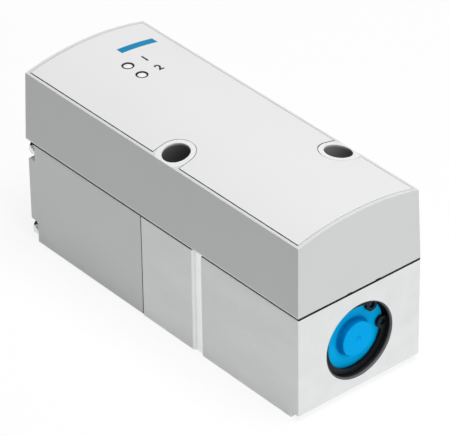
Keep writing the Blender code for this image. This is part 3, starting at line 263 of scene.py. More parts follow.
# %% Shader sockets as numbers
class Wire:
    """One output socket, with the usual arithmetic."""

    def __init__(self, finish, socket):
        self.finish = finish
        self.socket = socket

    def math(self, operation, other=0.0, swapped=False):
        pair = (other, self) if swapped else (self, other)
        return self.finish.node("ShaderNodeMath", {"operation": operation}, {0: pair[0], 1: pair[1]})

    def __add__(self, other): return self.math("ADD", other)
    def __radd__(self, other): return self.math("ADD", other, True)
    def __sub__(self, other): return self.math("SUBTRACT", other)
    def __rsub__(self, other): return self.math("SUBTRACT", other, True)
    def __mul__(self, other): return self.math("MULTIPLY", other)
    def __rmul__(self, other): return self.math("MULTIPLY", other, True)
    def __truediv__(self, other): return self.math("DIVIDE", other)
    def __abs__(self): return self.math("ABSOLUTE")


class Finish:
    """A material with a Principled shader and a short way of adding nodes."""

    def __init__(self, name, colour, roughness, metallic=0.0, **fixed):
        self.material = bpy.data.materials.new(name)
        self.material.use_nodes = True
        self.tree = self.material.node_tree
        self.shader = self.tree.nodes["Principled BSDF"]
        self.set(Base_Color=(*colour, 1), Roughness=roughness, Metallic=metallic, **fixed)

    def set(self, **inputs):
        """Give the shader's sockets values or wires; an underscore stands for a space."""
        for name, value in inputs.items():
            self.feed(self.shader.inputs[name.replace("_", " ")], value)

    def feed(self, socket, value):
        if isinstance(value, Wire):
            self.tree.links.new(value.socket, socket)
        else:
            socket.default_value = value

    def node(self, kind, settings=None, inputs=None, output=0):
        made = self.tree.nodes.new(kind)
        for name, value in (settings or {}).items():
            setattr(made, name, value)
        for key, value in (inputs or {}).items():
            self.feed(made.inputs[key], value)
        return Wire(self, made.outputs[output])

    def place(self):
        """Object coordinates, in metres."""
        return self.node("ShaderNodeTexCoord", output="Object")

    def axes(self):
        """The three coordinates, each in millimetres."""
        parts = self.tree.nodes.new("ShaderNodeSeparateXYZ")
        self.feed(parts.inputs[0], self.place())
        return [Wire(self, out) * (1 / mm) for out in parts.outputs]

    def stretched(self, scale, shift=(0, 0, 0)):
        """Object coordinates scaled along each axis, for grain with a direction."""
        return self.node("ShaderNodeMapping", {}, {"Vector": self.place(), "Scale": scale, "Location": shift})

    def noise(self, size, detail=2.0, vector=None, roughness=0.5):
        """Smooth noise from 0 to 1 whose spots are about a size across."""
        return self.node("ShaderNodeTexNoise", {}, {
            "Vector": vector or self.place(), "Scale": 1 / size, "Detail": detail, "Roughness": roughness})

    def ramp(self, value, low, high, out_low=0.0, out_high=1.0):
        """Carry a value from one range to another, held at the ends and eased between."""
        return self.node("ShaderNodeMapRange", {"interpolation_type": "SMOOTHSTEP"}, {
            "Value": value, "From Min": low, "From Max": high, "To Min": out_low, "To Max": out_high})

    def blend(self, factor, first, second):
        """Mix two colours."""
        first = first if isinstance(first, Wire) else (*first, 1)
        second = second if isinstance(second, Wire) else (*second, 1)
        return self.node("ShaderNodeMix", {"data_type": "RGBA"}, {0: factor, 6: first, 7: second}, output=2)

    def bump(self, height, distance, strength=1.0, normal=None):
        inputs = {"Height": height, "Distance": distance, "Strength": strength}
        if normal:
            inputs["Normal"] = normal
        return self.node("ShaderNodeBump", {}, inputs)


def coat(obj, finish, body="housing", replaced=()):
    """Give a new piece its finish, its body and the solids that it stands for."""
    obj.data.materials.clear()
    obj.data.materials.append(finish.material)
    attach(obj, body)
    if replaced:
        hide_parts(*replaced)
    print(f"{obj.name}: {len(obj.data.polygons)} faces on {body}")
    return obj


# %% [markdown]
# ## Finishes
#
# The hood and its label are a fine satin plastic. Spark-eroded tools leave a faint even grain in such
# mouldings, so a little noise drives the bump, and broad, weak noise keeps the colour from being dead flat.

# %% Plastic finishes
def moulded(name, colour, roughness, grain=0.35 * mm, depth=0.006 * mm, mottle=0.03, shine=0.45):
    finish = Finish(name, colour, roughness, Specular_IOR_Level=shine)
    fine = finish.noise(grain, 3.0)
    broad = finish.noise(26 * mm, 2.0)
    darker = tuple(c * (1 - mottle) for c in colour)
    lighter = tuple(min(1, c * (1 + mottle)) for c in colour)
    finish.set(Base_Color=finish.blend(broad, darker, lighter),
               Roughness=finish.ramp(fine, 0.3, 0.7, roughness - 0.05, roughness + 0.06),
               Normal=finish.bump(fine, depth))
    return finish


label_film = moulded("label_film", (0.80, 0.80, 0.80), 0.40, grain=0.2 * mm, depth=0.003 * mm, mottle=0.012)
block_plastic = moulded("block_plastic", (0.82, 0.84, 0.835), 0.55, grain=0.5 * mm, depth=0.010 * mm, mottle=0.04)
insert_plastic = moulded("insert_plastic", (0.03, 0.03, 0.033), 0.5)
coil_plastic = moulded("coil_plastic", (0.03, 0.03, 0.035), 0.55)
label_edge_black = moulded("label_edge_black_plastic", (0.01, 0.01, 0.01), 0.5, shine=0.1)
window_plastic = moulded("window_plastic", (0.90, 0.91, 0.90), 0.18, depth=0.001 * mm, mottle=0.005)
board_lacquer = moulded("board_lacquer", (0.02, 0.20, 0.09), 0.4, depth=0.004 * mm, mottle=0.1)
chip_plastic = moulded("chip_plastic", (0.02, 0.02, 0.02), 0.5)

# %% [markdown]
# The two mouldings carry painted light and shade. The hood's wells are painted dark as painted shade, from just below
# their mouths down, the front well darker than the rear one. The hood's top round each well and a thin strip along its
# lower edge on the long faces are painted lighter as painted highlights. The cap has painted shade, a deeper blue, in
# the corner round its boss, and its face further out is painted a lighter blue as painted light. The wells and the
# cap's places are found from the distance to an axis, which is a sum of squares on the object's own coordinates.

# %% Hood and cap finishes
bore_z, bore_r = 17.2 * mm, 11.75 * mm
wells = ((2.8 * mm, -17.1 * mm), (32.0 * mm, 17.1 * mm))
well_r = 4.1 * mm


def distance(first, second):
    """How far a point is from an axis, in millimetres, from its two offsets."""
    return (first * first + second * second).math("POWER", 0.5)


def hood_finish():
    colour = (0.70, 0.715, 0.71)
    finish = moulded("hood_plastic", colour, 0.46)
    x, y, z = finish.axes()
    inside = painted_island_light = None
    for well_x, well_y in wells:
        from_well = distance(x - well_x / mm, y - well_y / mm)
        near, rim = finish.ramp(from_well, 4.12, 4.3, 1, 0), finish.ramp(from_well, 5.8, 5.9, 1, 0)
        inside, painted_island_light = (near, rim) if inside is None else (inside + near, painted_island_light + rim)
    mouth = crown_drop(abs(y)) - z
    # Painted shade: the wells are painted dark from just below their mouths down, where shade falls in them.
    dark = inside * finish.ramp(mouth, 0.05, 1.0)
    plain = Wire(finish, finish.shader.inputs["Base Color"].links[0].from_socket)
    # Painted shade: the front well is painted darker than the rear one.
    painted_well_shade = finish.blend(finish.ramp(y, -1, 1), (0.12, 0.12, 0.122), (0.25, 0.25, 0.252))
    # Painted highlight: the hood's top round each well is painted lighter than the rest of the hood.
    plain = finish.blend(painted_island_light * finish.ramp(mouth, 0.2, 0.4, 1, 0), plain, (0.83, 0.84, 0.84))
    # Painted highlight: a thin light strip along the hood's lower edge on the long faces, where a rounded edge would
    # catch the light.
    edge = finish.ramp(z, 35.12, 35.2, 1, 0) * finish.ramp(abs(y), 22.25, 22.3) * finish.ramp(x, 59.8, 60.0, 1, 0)
    plain = finish.blend(edge, plain, (0.97, 0.97, 0.97))
    finish.set(Base_Color=finish.blend(dark, plain, painted_well_shade))
    return finish


def crown_drop(y):
    """Height of the hood's arch at a distance from the middle, in millimetres."""
    return 60.0 - y * y / (2 * 87.0)


def cap_finish():
    finish = moulded("cap_plastic", (0.0, 0.43, 0.92), 0.45, grain=0.3 * mm, depth=0.003 * mm, shine=0.02)
    x, y, z = finish.axes()
    from_axis = distance(y, z - bore_z / mm)
    # Painted shade: a deeper blue in the corner round the boss.
    corner = finish.ramp(from_axis, 5.36, 5.42) * finish.ramp(from_axis, 5.9, 6.3, 1, 0)
    plain = Wire(finish, finish.shader.inputs["Base Color"].links[0].from_socket)
    # Painted light: the face further out from the boss is painted a lighter blue, against the shade of the bore's wall.
    plain = finish.blend(finish.ramp(from_axis, 6.4, 7.2), plain, (0.0, 0.51, 1.0))
    finish.set(Base_Color=finish.blend(corner * 0.8, plain, (0.0, 0.17, 0.50)))
    return finish


hood_plastic = hood_finish()
cap_plastic = cap_finish()

# %% [markdown]
# The valve body is cut from an aluminium profile and clear anodised. The anodic layer scatters light, so it is only
# partly metallic. Faint drawing lines run along the profile's faces, and the groove keeps the brighter skin of the
# extrusion. The bore's wall is painted nearly black as painted shade and painted reflection. The chamfer at its mouth,
# the walls inside the ports and two lines on the groove's sloping wall are painted dark as painted shade.

# %% Aluminium
groove_span = (15.0, 19.3)     # of the side groove along the body, in millimetres
guide_low, guide_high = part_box("stem_guide")
near_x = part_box("valve_body")[1].x
mouth_edge = 0.42 * mm         # of the chamfer at the mouth of the bore
ports = {"exhaust": (guide_low.x + guide_high.x) / 2, "work": guide_high.x + 7.3 * mm, "supply": near_x - 16.825 * mm}


def anodised_aluminium():
    base = (0.86, 0.87, 0.87)
    finish = Finish("anodised_aluminium", base, 0.45, 0.2, Specular_IOR_Level=0.5)
    x, y, z = finish.axes()
    drawn = finish.noise(1.0, 3.0, finish.stretched((14 / 0.12, 1 / (0.5 * mm), 1 / (0.5 * mm))), 0.6)
    smears = finish.noise(7 * mm, 3.0, finish.node("ShaderNodeMapping", {}, {
        "Vector": finish.place(), "Rotation": (0, radians(35), 0), "Scale": (0.35, 1, 1)}))
    tone = 0.4 * drawn + 0.6 * smears
    plain = finish.blend(finish.ramp(tone, 0.3, 0.7), tuple(c * 0.93 for c in base), base)
    groove = (finish.ramp(x, groove_span[0], groove_span[0] + 0.1)
              * finish.ramp(x, groove_span[1], groove_span[1] + 0.1, 1, 0) * finish.ramp(y, -22.48, -22.4))
    groove = groove * finish.ramp(y, -20, -19, 1, 0)
    # Painted shade: two dark lines on the groove's sloping wall.
    corner = finish.ramp(x, 15.9, 16.0, 0.14, 0) + finish.ramp(abs(x - 15.68), 0.06, 0.14, 0.12, 0)
    from_axis = distance(y, z - bore_z / mm)
    # Painted shade and painted reflection: the bore's wall is painted nearly black.
    bore = finish.ramp(from_axis, 12.45, 12.6, 1, 0) * finish.ramp(x, 44, 45) * finish.ramp(x, 59.6, 59.7, 1, 0)
    # Painted shade: the chamfer at the bore's mouth is painted dark.
    mouth = finish.ramp(from_axis, 12.19, 12.25, 1, 0) * finish.ramp(x, 59.6, 59.7)
    plain = finish.blend(mouth, plain, (0.09, 0.09, 0.093))
    plain = finish.blend(groove * corner, plain, (0.30, 0.30, 0.30))
    # Painted shade: the walls inside the ports are painted darker.
    drilled = finish.ramp(y, 4, 5) * finish.ramp(y, 22.12, 22.18, 1, 0)
    from_port = None
    for port_x in ports.values():
        reach = distance(x - port_x / mm, z - bore_z / mm)
        from_port = reach if from_port is None else from_port.math("MINIMUM", reach)
    drilled = drilled * finish.ramp(from_port, 5.1, 5.2, 1, 0) * finish.ramp(z, 30, 31, 1, 0)
    plain = finish.blend(drilled, plain, (0.34, 0.34, 0.35))
    finish.set(Base_Color=finish.blend(bore * 0.97, plain, (0.02, 0.02, 0.021)),
               Metallic=0.2 + 0.7 * abs(groove + drilled - bore),
               Roughness=finish.ramp(drawn, 0.3, 0.7, 0.40, 0.52) * (1 - groove) + 0.3 * groove,
               Normal=finish.bump(drawn * (1 - groove), 0.003 * mm))
    return finish


aluminium = anodised_aluminium()

# %% [markdown]
# The small metal pieces share one recipe: metallic, with fine scratches that change the roughness.

# %% Other metals, rubber and bronze
def bare_metal(name, colour, roughness, spread=0.08):
    finish = Finish(name, colour, roughness, 1.0)
    marks = finish.noise(0.25 * mm, 4.0, roughness=0.65)
    finish.set(Roughness=finish.ramp(marks, 0.3, 0.7, roughness - spread, roughness + spread),
               Base_Color=finish.blend(finish.noise(3 * mm), tuple(c * 0.9 for c in colour), colour),
               Normal=finish.bump(marks, 0.002 * mm))
    return finish


steel = bare_metal("zinc_plated_steel", (0.78, 0.79, 0.80), 0.16, 0.05)
brass = bare_metal("turned_brass", (0.78, 0.60, 0.32), 0.3)
bronze = bare_metal("sintered_bronze", (0.50, 0.34, 0.18), 0.65)
nickel = bare_metal("nickel_plate", (0.72, 0.70, 0.67), 0.26)
gold = bare_metal("gold_flash", (0.86, 0.66, 0.28), 0.24)
ring_steel = moulded("black_ring_steel", (0.006, 0.006, 0.007), 0.36, grain=0.15 * mm, depth=0.004 * mm,
                     mottle=0.2, shine=0.16)
seal_rubber = moulded("seal_rubber", (0.010, 0.010, 0.010), 0.65, grain=0.4 * mm, depth=0.006 * mm,
                      mottle=0.15, shine=0.15)

slot_finish = {
    "hood_grey": hood_plastic, "label_white": label_film, "window_white": window_plastic,
    "block_grey": block_plastic, "milled_aluminium": aluminium, "cap_blue": cap_plastic,
    "ring_black": ring_steel, "rubber": seal_rubber, "steel": steel, "brass": brass, "bronze": bronze,
    "coil_black": coil_plastic, "board_green": board_lacquer, "chip_black": chip_plastic,
    "nickel": nickel, "gold": gold}
for part in frame["record"]["subparts"]:
    shown = nodes[part["node"]].data
    shown.materials.clear()
    shown.materials.append(slot_finish[part["material_slot"]].material)
print(len(slot_finish), "finishes on", len(nodes), "solids")

# %% [markdown]
# ## The hood
#
# The real hood is one moulding: its walls lean in a little so that it leaves the tool, its top is a shallow
# arch, and every outer edge is rounded. A block is tapered by scaling its top face, cut to the arch by a very
# large cylinder, rounded with a bevel, and sliced flat at the joint.

# %% Sizes of the hood
hood_low, hood_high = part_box("cover")
half_length, half_width = hood_high.x, hood_high.y
joint_z, top_z = hood_low.z, hood_high.z
side_height = 22.45 * mm
draft = 0.6 * mm
crown_rise = top_z - joint_z - side_height
crown_half = half_width - draft
crown_r = (crown_half ** 2 + crown_rise ** 2) / (2 * crown_rise)
wall = 2.5 * mm
spare = 3 * mm
body_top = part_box("valve_body")[1].z
light_centres = [(low + high) / 2 for low, high in map(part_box, ("power_light_pipe", "error_light_pipe"))]
print("crown radius", round(crown_r / mm, 1), "mm")


def crown(drop, name="crown"):
    """A large cylinder whose top is the hood's arch, lowered by a drop."""
    centre_z = top_z - crown_r
    return rod(name, crown_r - drop, (-2 * half_length, 0, centre_z), (2 * half_length, 0, centre_z), 720)


def crown_z(y):
    return top_z - crown_r + sqrt(crown_r ** 2 - y ** 2)


# %% Tapered, crowned block
def hood_blank():
    low_z, high_z = joint_z - spare, top_z + spare
    lean = draft / side_height
    foot = lean * spare
    blank = block("hood", (-half_length - foot, -half_width - foot, low_z),
                  (half_length + foot, half_width + foot, high_z))
    rise = lean * (high_z - low_z)
    edit_points(blank, lambda place: place.z > top_z)
    bpy.ops.transform.resize(value=(1 - rise / (half_length + foot), 1 - rise / (half_width + foot), 1),
                             center_override=(0, 0, high_z))
    bpy.ops.object.mode_set(mode="OBJECT")
    keep_within(blank, crown(0))
    soften(blank, 0.9 * mm, 6)
    slice_off(blank, (0, 0, joint_z), (0, 0, -1))
    return soften(blank, 0.2 * mm, 3, 60)


hood = hood_blank()

# %% [markdown]
# Inside, the hood is hollow. The hollow is made first as a solid, with the wells, screw posts and lamp sleeves
# taken out of it, and is then cut from the block, which leaves all of these standing in the hood.

# %% Hollow the hood
hood_screws = ((50.0 * mm, -17.0 * mm), (-44.0 * mm, 13.5 * mm))
screw_post_r = 3.2 * mm
sleeve_r = 2.9 * mm
sleeve_length = 3.0 * mm
hollow = block("hollow", (-half_length + wall, -half_width + wall, joint_z - spare),
               (half_length - wall, half_width - wall, top_z))
keep_within(hollow, crown(wall))
for x, y in wells:
    cut(hollow, rod("post", well_r + wall, (x, y, joint_z - 2 * spare), (x, y, top_z + spare)))
for x, y in hood_screws:
    cut(hollow, rod("post", screw_post_r, (x, y, joint_z - 2 * spare), (x, y, top_z + spare), 32))
for centre in light_centres:
    cut(hollow, rod("sleeve", sleeve_r, (centre.x, 0, top_z - wall - sleeve_length), (centre.x, 0, top_z + spare), 32))
cut(hood, hollow)

# %% [markdown]
# The label lies in a shallow recess with a U-shaped notch round each well. One function gives the label's
# outline as a tall block, and the recess is the same outline made a hair larger, so that a thin dark line
# runs round the label, as on the real one.

# %% Label outline, recess, wells and lamp holes
label_low, label_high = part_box("label_panel")
label_thickness = 0.5 * mm
label_joint = 0.12 * mm
label_notch_r = 5.7 * mm


def label_blank(name, grow=0.0, front=0.0, slips=((0.0,), (0.0,))):
    """The label's outline, grown all round, wider at the front, and with its notches widened along the unit."""
    tall = (joint_z, top_z + spare)
    made = block(name, (label_low.x - grow, label_low.y - grow - front, tall[0]),
                 (label_high.x + grow, label_high.y + grow, tall[1]))
    radius = label_notch_r - grow
    for (x, y), slips_here in zip(wells, slips):
        side = 1 if y > 0 else -1
        y_low, y_high = sorted((y, side * (half_width + spare)))
        low_z, high_z = tall[0] - spare, tall[1] + spare
        for at in [x + slip for slip in slips_here]:
            cut(made, rod("notch", radius, (at, y, low_z), (at, y, high_z), 96))
            cut(made, block("notch_side", (at - radius, y_low, low_z), (at + radius, y_high, high_z)))
    return made


recess = label_blank("recess", label_joint, 0.2 * mm)
cut(recess, crown(label_thickness + 0.3 * mm))
cut(hood, recess)
for x, y in wells:
    cut(hood, rod("well", well_r, (x, y, joint_z - spare), (x, y, top_z + spare), 96))
for centre in light_centres:
    cut(hood, rod("lamp_hole", 1.95 * mm, (centre.x, 0, joint_z - spare), (centre.x, 0, top_z + spare), 48))
print("hood faces:", len(hood.data.polygons))

# %% [markdown]
# The seal under the hood lies in a groove that follows the walls and passes each well on its inner side. The
# same function makes the tool that cuts the groove and, a little narrower, the bead of the seal.

# %% Run of the seal
seal_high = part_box("cover_seal")[1]


def seal_band(name, edge, width, z_low, z_high):
    """A closed band along the walls that passes each well on its inner side."""
    outer = (half_length - edge, half_width - edge)
    inner = (outer[0] - width, outer[1] - width)
    band = block(name, (-outer[0], -outer[1], z_low), (*outer, z_high))
    middle = block("middle", (-inner[0], -inner[1], z_low - spare), (*inner, z_high + spare))
    for x, y in wells:
        reach = well_r + edge + width
        y_low, y_high = sorted((y, 2 * y))
        cut(middle, rod("well_side", reach, (x, y, z_low - 2 * spare), (x, y, z_high + 2 * spare)),
            block("well_back", (x - reach, y_low, z_low - 2 * spare), (x + reach, y_high, z_high + 2 * spare)))
    cut(band, middle)
    for x, y in wells:
        reach = well_r + edge
        y_low, y_high = sorted((y, 2 * y))
        cut(band, rod("well_side", reach, (x, y, z_low - spare), (x, y, z_high + spare)),
            block("well_back", (x - reach, y_low, z_low - spare), (x + reach, y_high, z_high + spare)))
    return band


# %% [markdown]
# Last come the small cuts: two vent notches in the rim over the blue cap, the holes for the two screws from
# below, and the round opening and flat face for the plug in the rear wall.

# %% Finish the hood
plug_z = (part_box("plug_shell")[0].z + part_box("plug_shell")[1].z) / 2
mend(soften(hood, 0.05 * mm, 2, 50))
cut(hood, seal_band("seal_groove", 0.5 * mm, 1.1 * mm, joint_z - spare, seal_high.z + 0.1 * mm))
for y in (-3.8 * mm, 6.5 * mm):
    cut(hood, block("vent_notch", (half_length - wall / 2, y - 0.9 * mm, joint_z - spare),
                    (half_length + wall, y + 0.9 * mm, joint_z + 0.25 * mm)))
for x, y in hood_screws:
    cut(hood, rod("screw_hole", 1.65 * mm, (x, y, joint_z - spare), (x, y, joint_z + 10 * mm), 24))
cut(hood, rod("plug_face", 8.3 * mm, (-half_length - wall, 0, plug_z), (-half_length + 0.75 * mm, 0, plug_z), 96),
    rod("plug_hole", 6.8 * mm, (-half_length - wall, 0, plug_z), (-half_length + 2 * wall, 0, plug_z), 96))
mend(hood)
smooth(hood)
coat(hood, hood_plastic, replaced=["cover"])

# %% [markdown]
# ## The label
#
# The label is a thin sheet that follows the arch: the same outline, kept between two crown cylinders. Its cut edges are
# black, so they show as fine dark lines where they face the viewer.

# %% Label
label = label_blank("label", slips=((-0.12 * mm, 0.12 * mm), (-0.22 * mm, -0.05 * mm)))
keep_within(label, crown(0))
cut(label, crown(label_thickness))
for centre in light_centres:
    cut(label, rod("window", 1.90 * mm, (centre.x, 0, joint_z), (centre.x, 0, top_z + spare), 64))
soften(label, 0.03 * mm, 1, 50)
smooth(label)
coat(label, label_film, replaced=["label_panel"])
label.data.materials.append(label_edge_black.material)
for face in label.data.polygons:
    face.material_index = 1 if abs(face.normal.z) < 0.5 else 0

# %% [markdown]
# ## The seals between the pieces
#
# Two rubber sheets close the joints, and show as fine dark lines. The hood's seal is a flat lip between hood and
# body with a bead on top, which sits in a groove of the hood's rim and runs round the inner side of each well.
# The other sheet is clamped between the two blocks. Each is cut from a block by its neighbours' outlines.

# %% Seal under the hood
lip_low, lip_high = body_top + 0.04 * mm, joint_z - 0.04 * mm
seal = block("hood_seal", (-half_length + 0.1 * mm, -half_width + 0.1 * mm, lip_low),
             (half_length - 0.1 * mm, half_width - 0.1 * mm, lip_high))
cut(seal, block("middle", (-half_length + 1.7 * mm, -half_width + 1.7 * mm, lip_low - mm),
                (half_length - 1.7 * mm, half_width - 1.7 * mm, lip_high + mm)))
join(seal, seal_band("bead", 0.6 * mm, 0.9 * mm, lip_low, seal_high.z))
cut(seal, block("over_groove", (14.6 * mm, -half_width, lip_low - mm), (19.7 * mm, -21.7 * mm, lip_high + mm)))
cut(seal, block("behind", (-half_length, -half_width, lip_low - mm), (-half_length + 1.0 * mm, half_width, lip_high)))
for side in (-1, 1):
    y_low, y_high = sorted((side * 21.8 * mm, side * half_width))
    cut(seal, block("over_notch", (-half_length, y_low, lip_low - mm), (-56.6 * mm, y_high, lip_high)))
for x, y in wells:
    cut(seal, rod("well", well_r + 0.15 * mm, (x, y, lip_low - mm), (x, y, seal_high.z + mm), 96))
edge = block("edge_bead", (half_length - 0.25 * mm, -half_width + 0.15 * mm, body_top - 0.19 * mm),
             (half_length - 0.006 * mm, half_width - 0.15 * mm, joint_z + 0.19 * mm))
join(seal, soften(edge, 0.05 * mm, 2))
smooth(seal)
coat(seal, seal_rubber, replaced=["cover_seal"])

# %% Sheet between the blocks
sheet_low = Vector((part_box("pilot_block")[1].x + 0.02 * mm, -half_width + 0.12 * mm, 0.42 * mm))
sheet_high = Vector((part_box("valve_body")[0].x - 0.02 * mm, half_width - 0.12 * mm, body_top - 0.12 * mm))
sheet = block("joint_sheet", sheet_low, sheet_high)
across = sheet_low.x - mm, sheet_high.x + mm
cut(sheet, rod("chamber", 15.2 * mm, (across[0], 0, bore_z), (across[1], 0, bore_z), 96),
    rod("feed", 2.3 * mm, (across[0], -11 * mm, body_top - 3.45 * mm), (across[1], -11 * mm, body_top - 3.45 * mm), 32))
block_screw_places = [(side * 19.3 * mm, z) for side in (-1, 1) for z in (3.5 * mm, 31.5 * mm)]
for y, z in block_screw_places:
    cut(sheet, rod("screw_way", 1.8 * mm, (across[0], y, z), (across[1], y, z), 32))
soften(sheet, 0.03 * mm, 1)
smooth(sheet)
coat(sheet, seal_rubber)

# %% [markdown]
# ## The two lamps
#
# Two clear pipes carry the light of the lamps on the board up to the label. Each is turned: a foot flange that rests
# below its sleeve, a plain stem, and a low dome that stands level with the label. A black tube round the stem shows as
# a thin dark ring round the white window.

# %% Light pipes
pipe_r = 1.41 * mm


def arc_sections(radius, height, size, start, end, steps=6):
    """Points on a small circle round (radius, height), as (radius, height) pairs; angles in degrees."""
    angles = [radians(start + (end - start) * step / steps) for step in range(steps + 1)]
    return [(radius + size * cos(angle), height + size * sin(angle)) for angle in angles]


def make_light_pipe(name, centre):
    low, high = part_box(name)
    flange_low = top_z - wall - sleeve_length - 1.3 * mm
    flange_r = (high.x - low.x) / 2
    dome = [(pipe_r * cos(radians(a)), top_z - 0.35 * mm * (1 - sin(radians(a)))) for a in range(0, 90, 10)]
    pipe = turned(name + "_lens", [
        (pipe_r, low.z), (pipe_r, flange_low), (flange_r, flange_low), (flange_r, flange_low + 1 * mm),
        (pipe_r, flange_low + 1 * mm), *dome], (centre.x, 0, 0), (0, 0, 1), 64)
    smooth(pipe)
    coat(pipe, window_plastic, replaced=[name])
    tube = turned(name + "_tube", [
        (1.43 * mm, top_z - 3.5 * mm), (1.43 * mm, top_z - 0.02 * mm), (1.88 * mm, top_z - 0.02 * mm),
        (1.88 * mm, top_z - 3.5 * mm)], (centre.x, 0, 0), (0, 0, 1), 64, ring=True)
    smooth(tube)
    coat(tube, seal_rubber)


for name, centre in zip(("power_light_pipe", "error_light_pipe"), light_centres):
    make_light_pipe(name, centre)

# %% [markdown]
# ## Printing on the label
#
# The label carries a plain blue bar and the numbers 1 and 2 beside the lamps. Each print is a skin a few
# hundredths of a millimetre thick. It is cut up finely, and every point is then lowered onto the arch.

# %% Prints
print_thickness = 0.02 * mm
bar_ink = moulded("bar_ink", (0.0, 0.23, 0.45), 0.4, depth=0.002 * mm, shine=0.1)
figure_ink = moulded("figure_ink", (0.008, 0.008, 0.009), 0.45, depth=0.002 * mm, shine=0.1)


def drape(obj):
    """Lower a thin skin onto the crown."""
    for vertex in obj.data.vertices:
        vertex.co.z += crown_z(vertex.co.y) - top_z
    obj.data.update()
    return obj


bar = block("blue_bar", (-48.7 * mm, 3.1 * mm, top_z), (-46.1 * mm, 16.3 * mm, top_z + print_thickness))
bpy.ops.object.mode_set(mode="EDIT")
bpy.ops.mesh.select_all(action="SELECT")
bpy.ops.mesh.subdivide(number_cuts=15)
bpy.ops.object.mode_set(mode="OBJECT")
coat(drape(bar), bar_ink)


def make_figure(name, text, x, y):
    """A printed number, upright for someone who looks at the unit from its long face."""
    clear_selection()
    bpy.ops.object.text_add(location=(x, y, top_z + print_thickness / 2), rotation=(0, 0, pi / 2))
    bpy.context.object.data.body = text
    bpy.context.object.data.size = 4.1 * mm
    bpy.context.object.data.offset = 0.11 * mm
    bpy.context.object.data.extrude = print_thickness / 2
    bpy.context.object.data.align_x = "CENTER"
    bpy.context.object.data.align_y = "CENTER"
    bpy.ops.object.convert(target="MESH")
    figure = mend(settle(name))
    coat(drape(figure), figure_ink)


make_figure("figure_1", "1", light_centres[0].x, 6.4 * mm)
make_figure("figure_2", "2", light_centres[1].x, 6.4 * mm)

# %% [markdown]
# ## The valve body
#
# The body is a length of aluminium profile. It is squared up, its edges are broken, and a mill then cuts the
# rebate under the end face and the shallow groove down the long face. The groove's left wall slopes, as the
# side of a form cutter leaves it, so its outline is a block with one edge pulled across.

# %% Outside of the body
body_low, body_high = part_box("valve_body")
joint_x = body_low.x
running_gap, seat_gap, overrun = 0.15 * mm, 0.3 * mm, 1.0 * mm
body = block("body_block", body_low, body_high)
soften(body, 0.25 * mm, 3)
cut(body, block("rebate", (near_x - 3.2 * mm, -half_length, -overrun), (near_x + overrun, half_length, 2.0 * mm)))

groove_x = joint_x + 22.225 * mm
groove = block("groove", (groove_x, -half_width - spare, -overrun),
               (groove_x + 4.3 * mm, -half_width + 0.8 * mm, body_high.z + overrun))
edit_points(groove, lambda place: place.x < groove_x + mm and place.y > -half_width)
bpy.ops.transform.translate(value=(0.8 * mm, 0, 0))
bpy.ops.object.mode_set(mode="OBJECT")
edit_points(groove, lambda place: place.x < groove_x + mm and place.y < -half_width)
bpy.ops.transform.translate(value=(-spare, 0, 0))
bpy.ops.object.mode_set(mode="OBJECT")
cut(body, groove)
print("body", [round(v / mm, 2) for v in body_high - body_low])

# %% [markdown]
# The main bore is one turned cutting shape, from the chamfer at the end face through the cap's seat, the supply
# chamber, the valve seat and the guide to the diaphragm's seat at the other end.

# %% Main bore
shoulder_x = near_x - 14.6 * mm
cap_low, cap_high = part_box("end_cap")
ring_low, ring_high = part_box("end_cap_ring")
feedback_floor_x = guide_low.x - seat_gap
neck_x = guide_high.x + seat_gap
chamber_floor_x = neck_x + 14 * mm
seat_x = chamber_floor_x + 1 * mm
diaphragm_floor_x = feedback_floor_x - 4.6 * mm
bore = turned("bore", [
    (15.0 * mm, joint_x - overrun), (15.0 * mm, diaphragm_floor_x), (12.5 * mm, diaphragm_floor_x),
    (12.5 * mm, feedback_floor_x), (8.0 * mm, feedback_floor_x), (8.0 * mm, neck_x), (5.0 * mm, neck_x),
    (5.0 * mm, seat_x - 0.3 * mm), (5.3 * mm, seat_x), (5.9 * mm, chamber_floor_x), (11.0 * mm, chamber_floor_x),
    (11.0 * mm, shoulder_x), (bore_r, shoulder_x), (bore_r, ring_low.x - running_gap),
    (bore_r + 0.6 * mm, ring_low.x - running_gap), (bore_r + 0.6 * mm, ring_high.x + running_gap),
    (bore_r, ring_high.x + running_gap), (bore_r, near_x - mouth_edge), (bore_r + mouth_edge, near_x),
    (bore_r + mouth_edge, near_x + overrun)], (0, 0, bore_z), (1, 0, 0), 128)
cut(body, bore)

# %% [markdown]
# Three threaded ports open on the far long face. Each cutter has a spot face, a chamfer and a run of ridges
# that leaves a thread in the wall, and behind the thread a narrower passage runs on to its chamber.

# %% Ports
port_r = 4.4 * mm
thread_pitch = 0.91 * mm
face_y = half_width - 0.3 * mm


def port_cutter(name, x, reach_y):
    thread = []
    depth = face_y - 7.4 * mm
    while depth < face_y - 0.6 * mm:
        thread += [(port_r, depth), (port_r + 0.45 * mm, depth + thread_pitch / 2)]
        depth += thread_pitch
    return turned(name, [
        (2.8 * mm, reach_y), (2.8 * mm, half_width - 9 * mm), (port_r - 0.1 * mm, half_width - 8.0 * mm), *thread,
        (port_r + 0.1 * mm, face_y - 0.55 * mm), (port_r + 0.65 * mm, face_y), (7.2 * mm, face_y),
        (7.2 * mm, half_width + overrun)], (x, 0, bore_z), (0, 1, 0), 96)


for name, reach_y in (("exhaust", 7 * mm), ("work", 3 * mm), ("supply", 10 * mm)):
    cut(body, port_cutter(name + "_port", ports[name], reach_y))
print("ports at", {name: round(x / mm, 2) for name, x in ports.items()})

# %% [markdown]
# The remaining holes are drilled: two for the mounting screws, with a spot face each at the bottom of its well,
# one for a hood screw, four threads for the screws that clamp the pilot block, and the small passages.

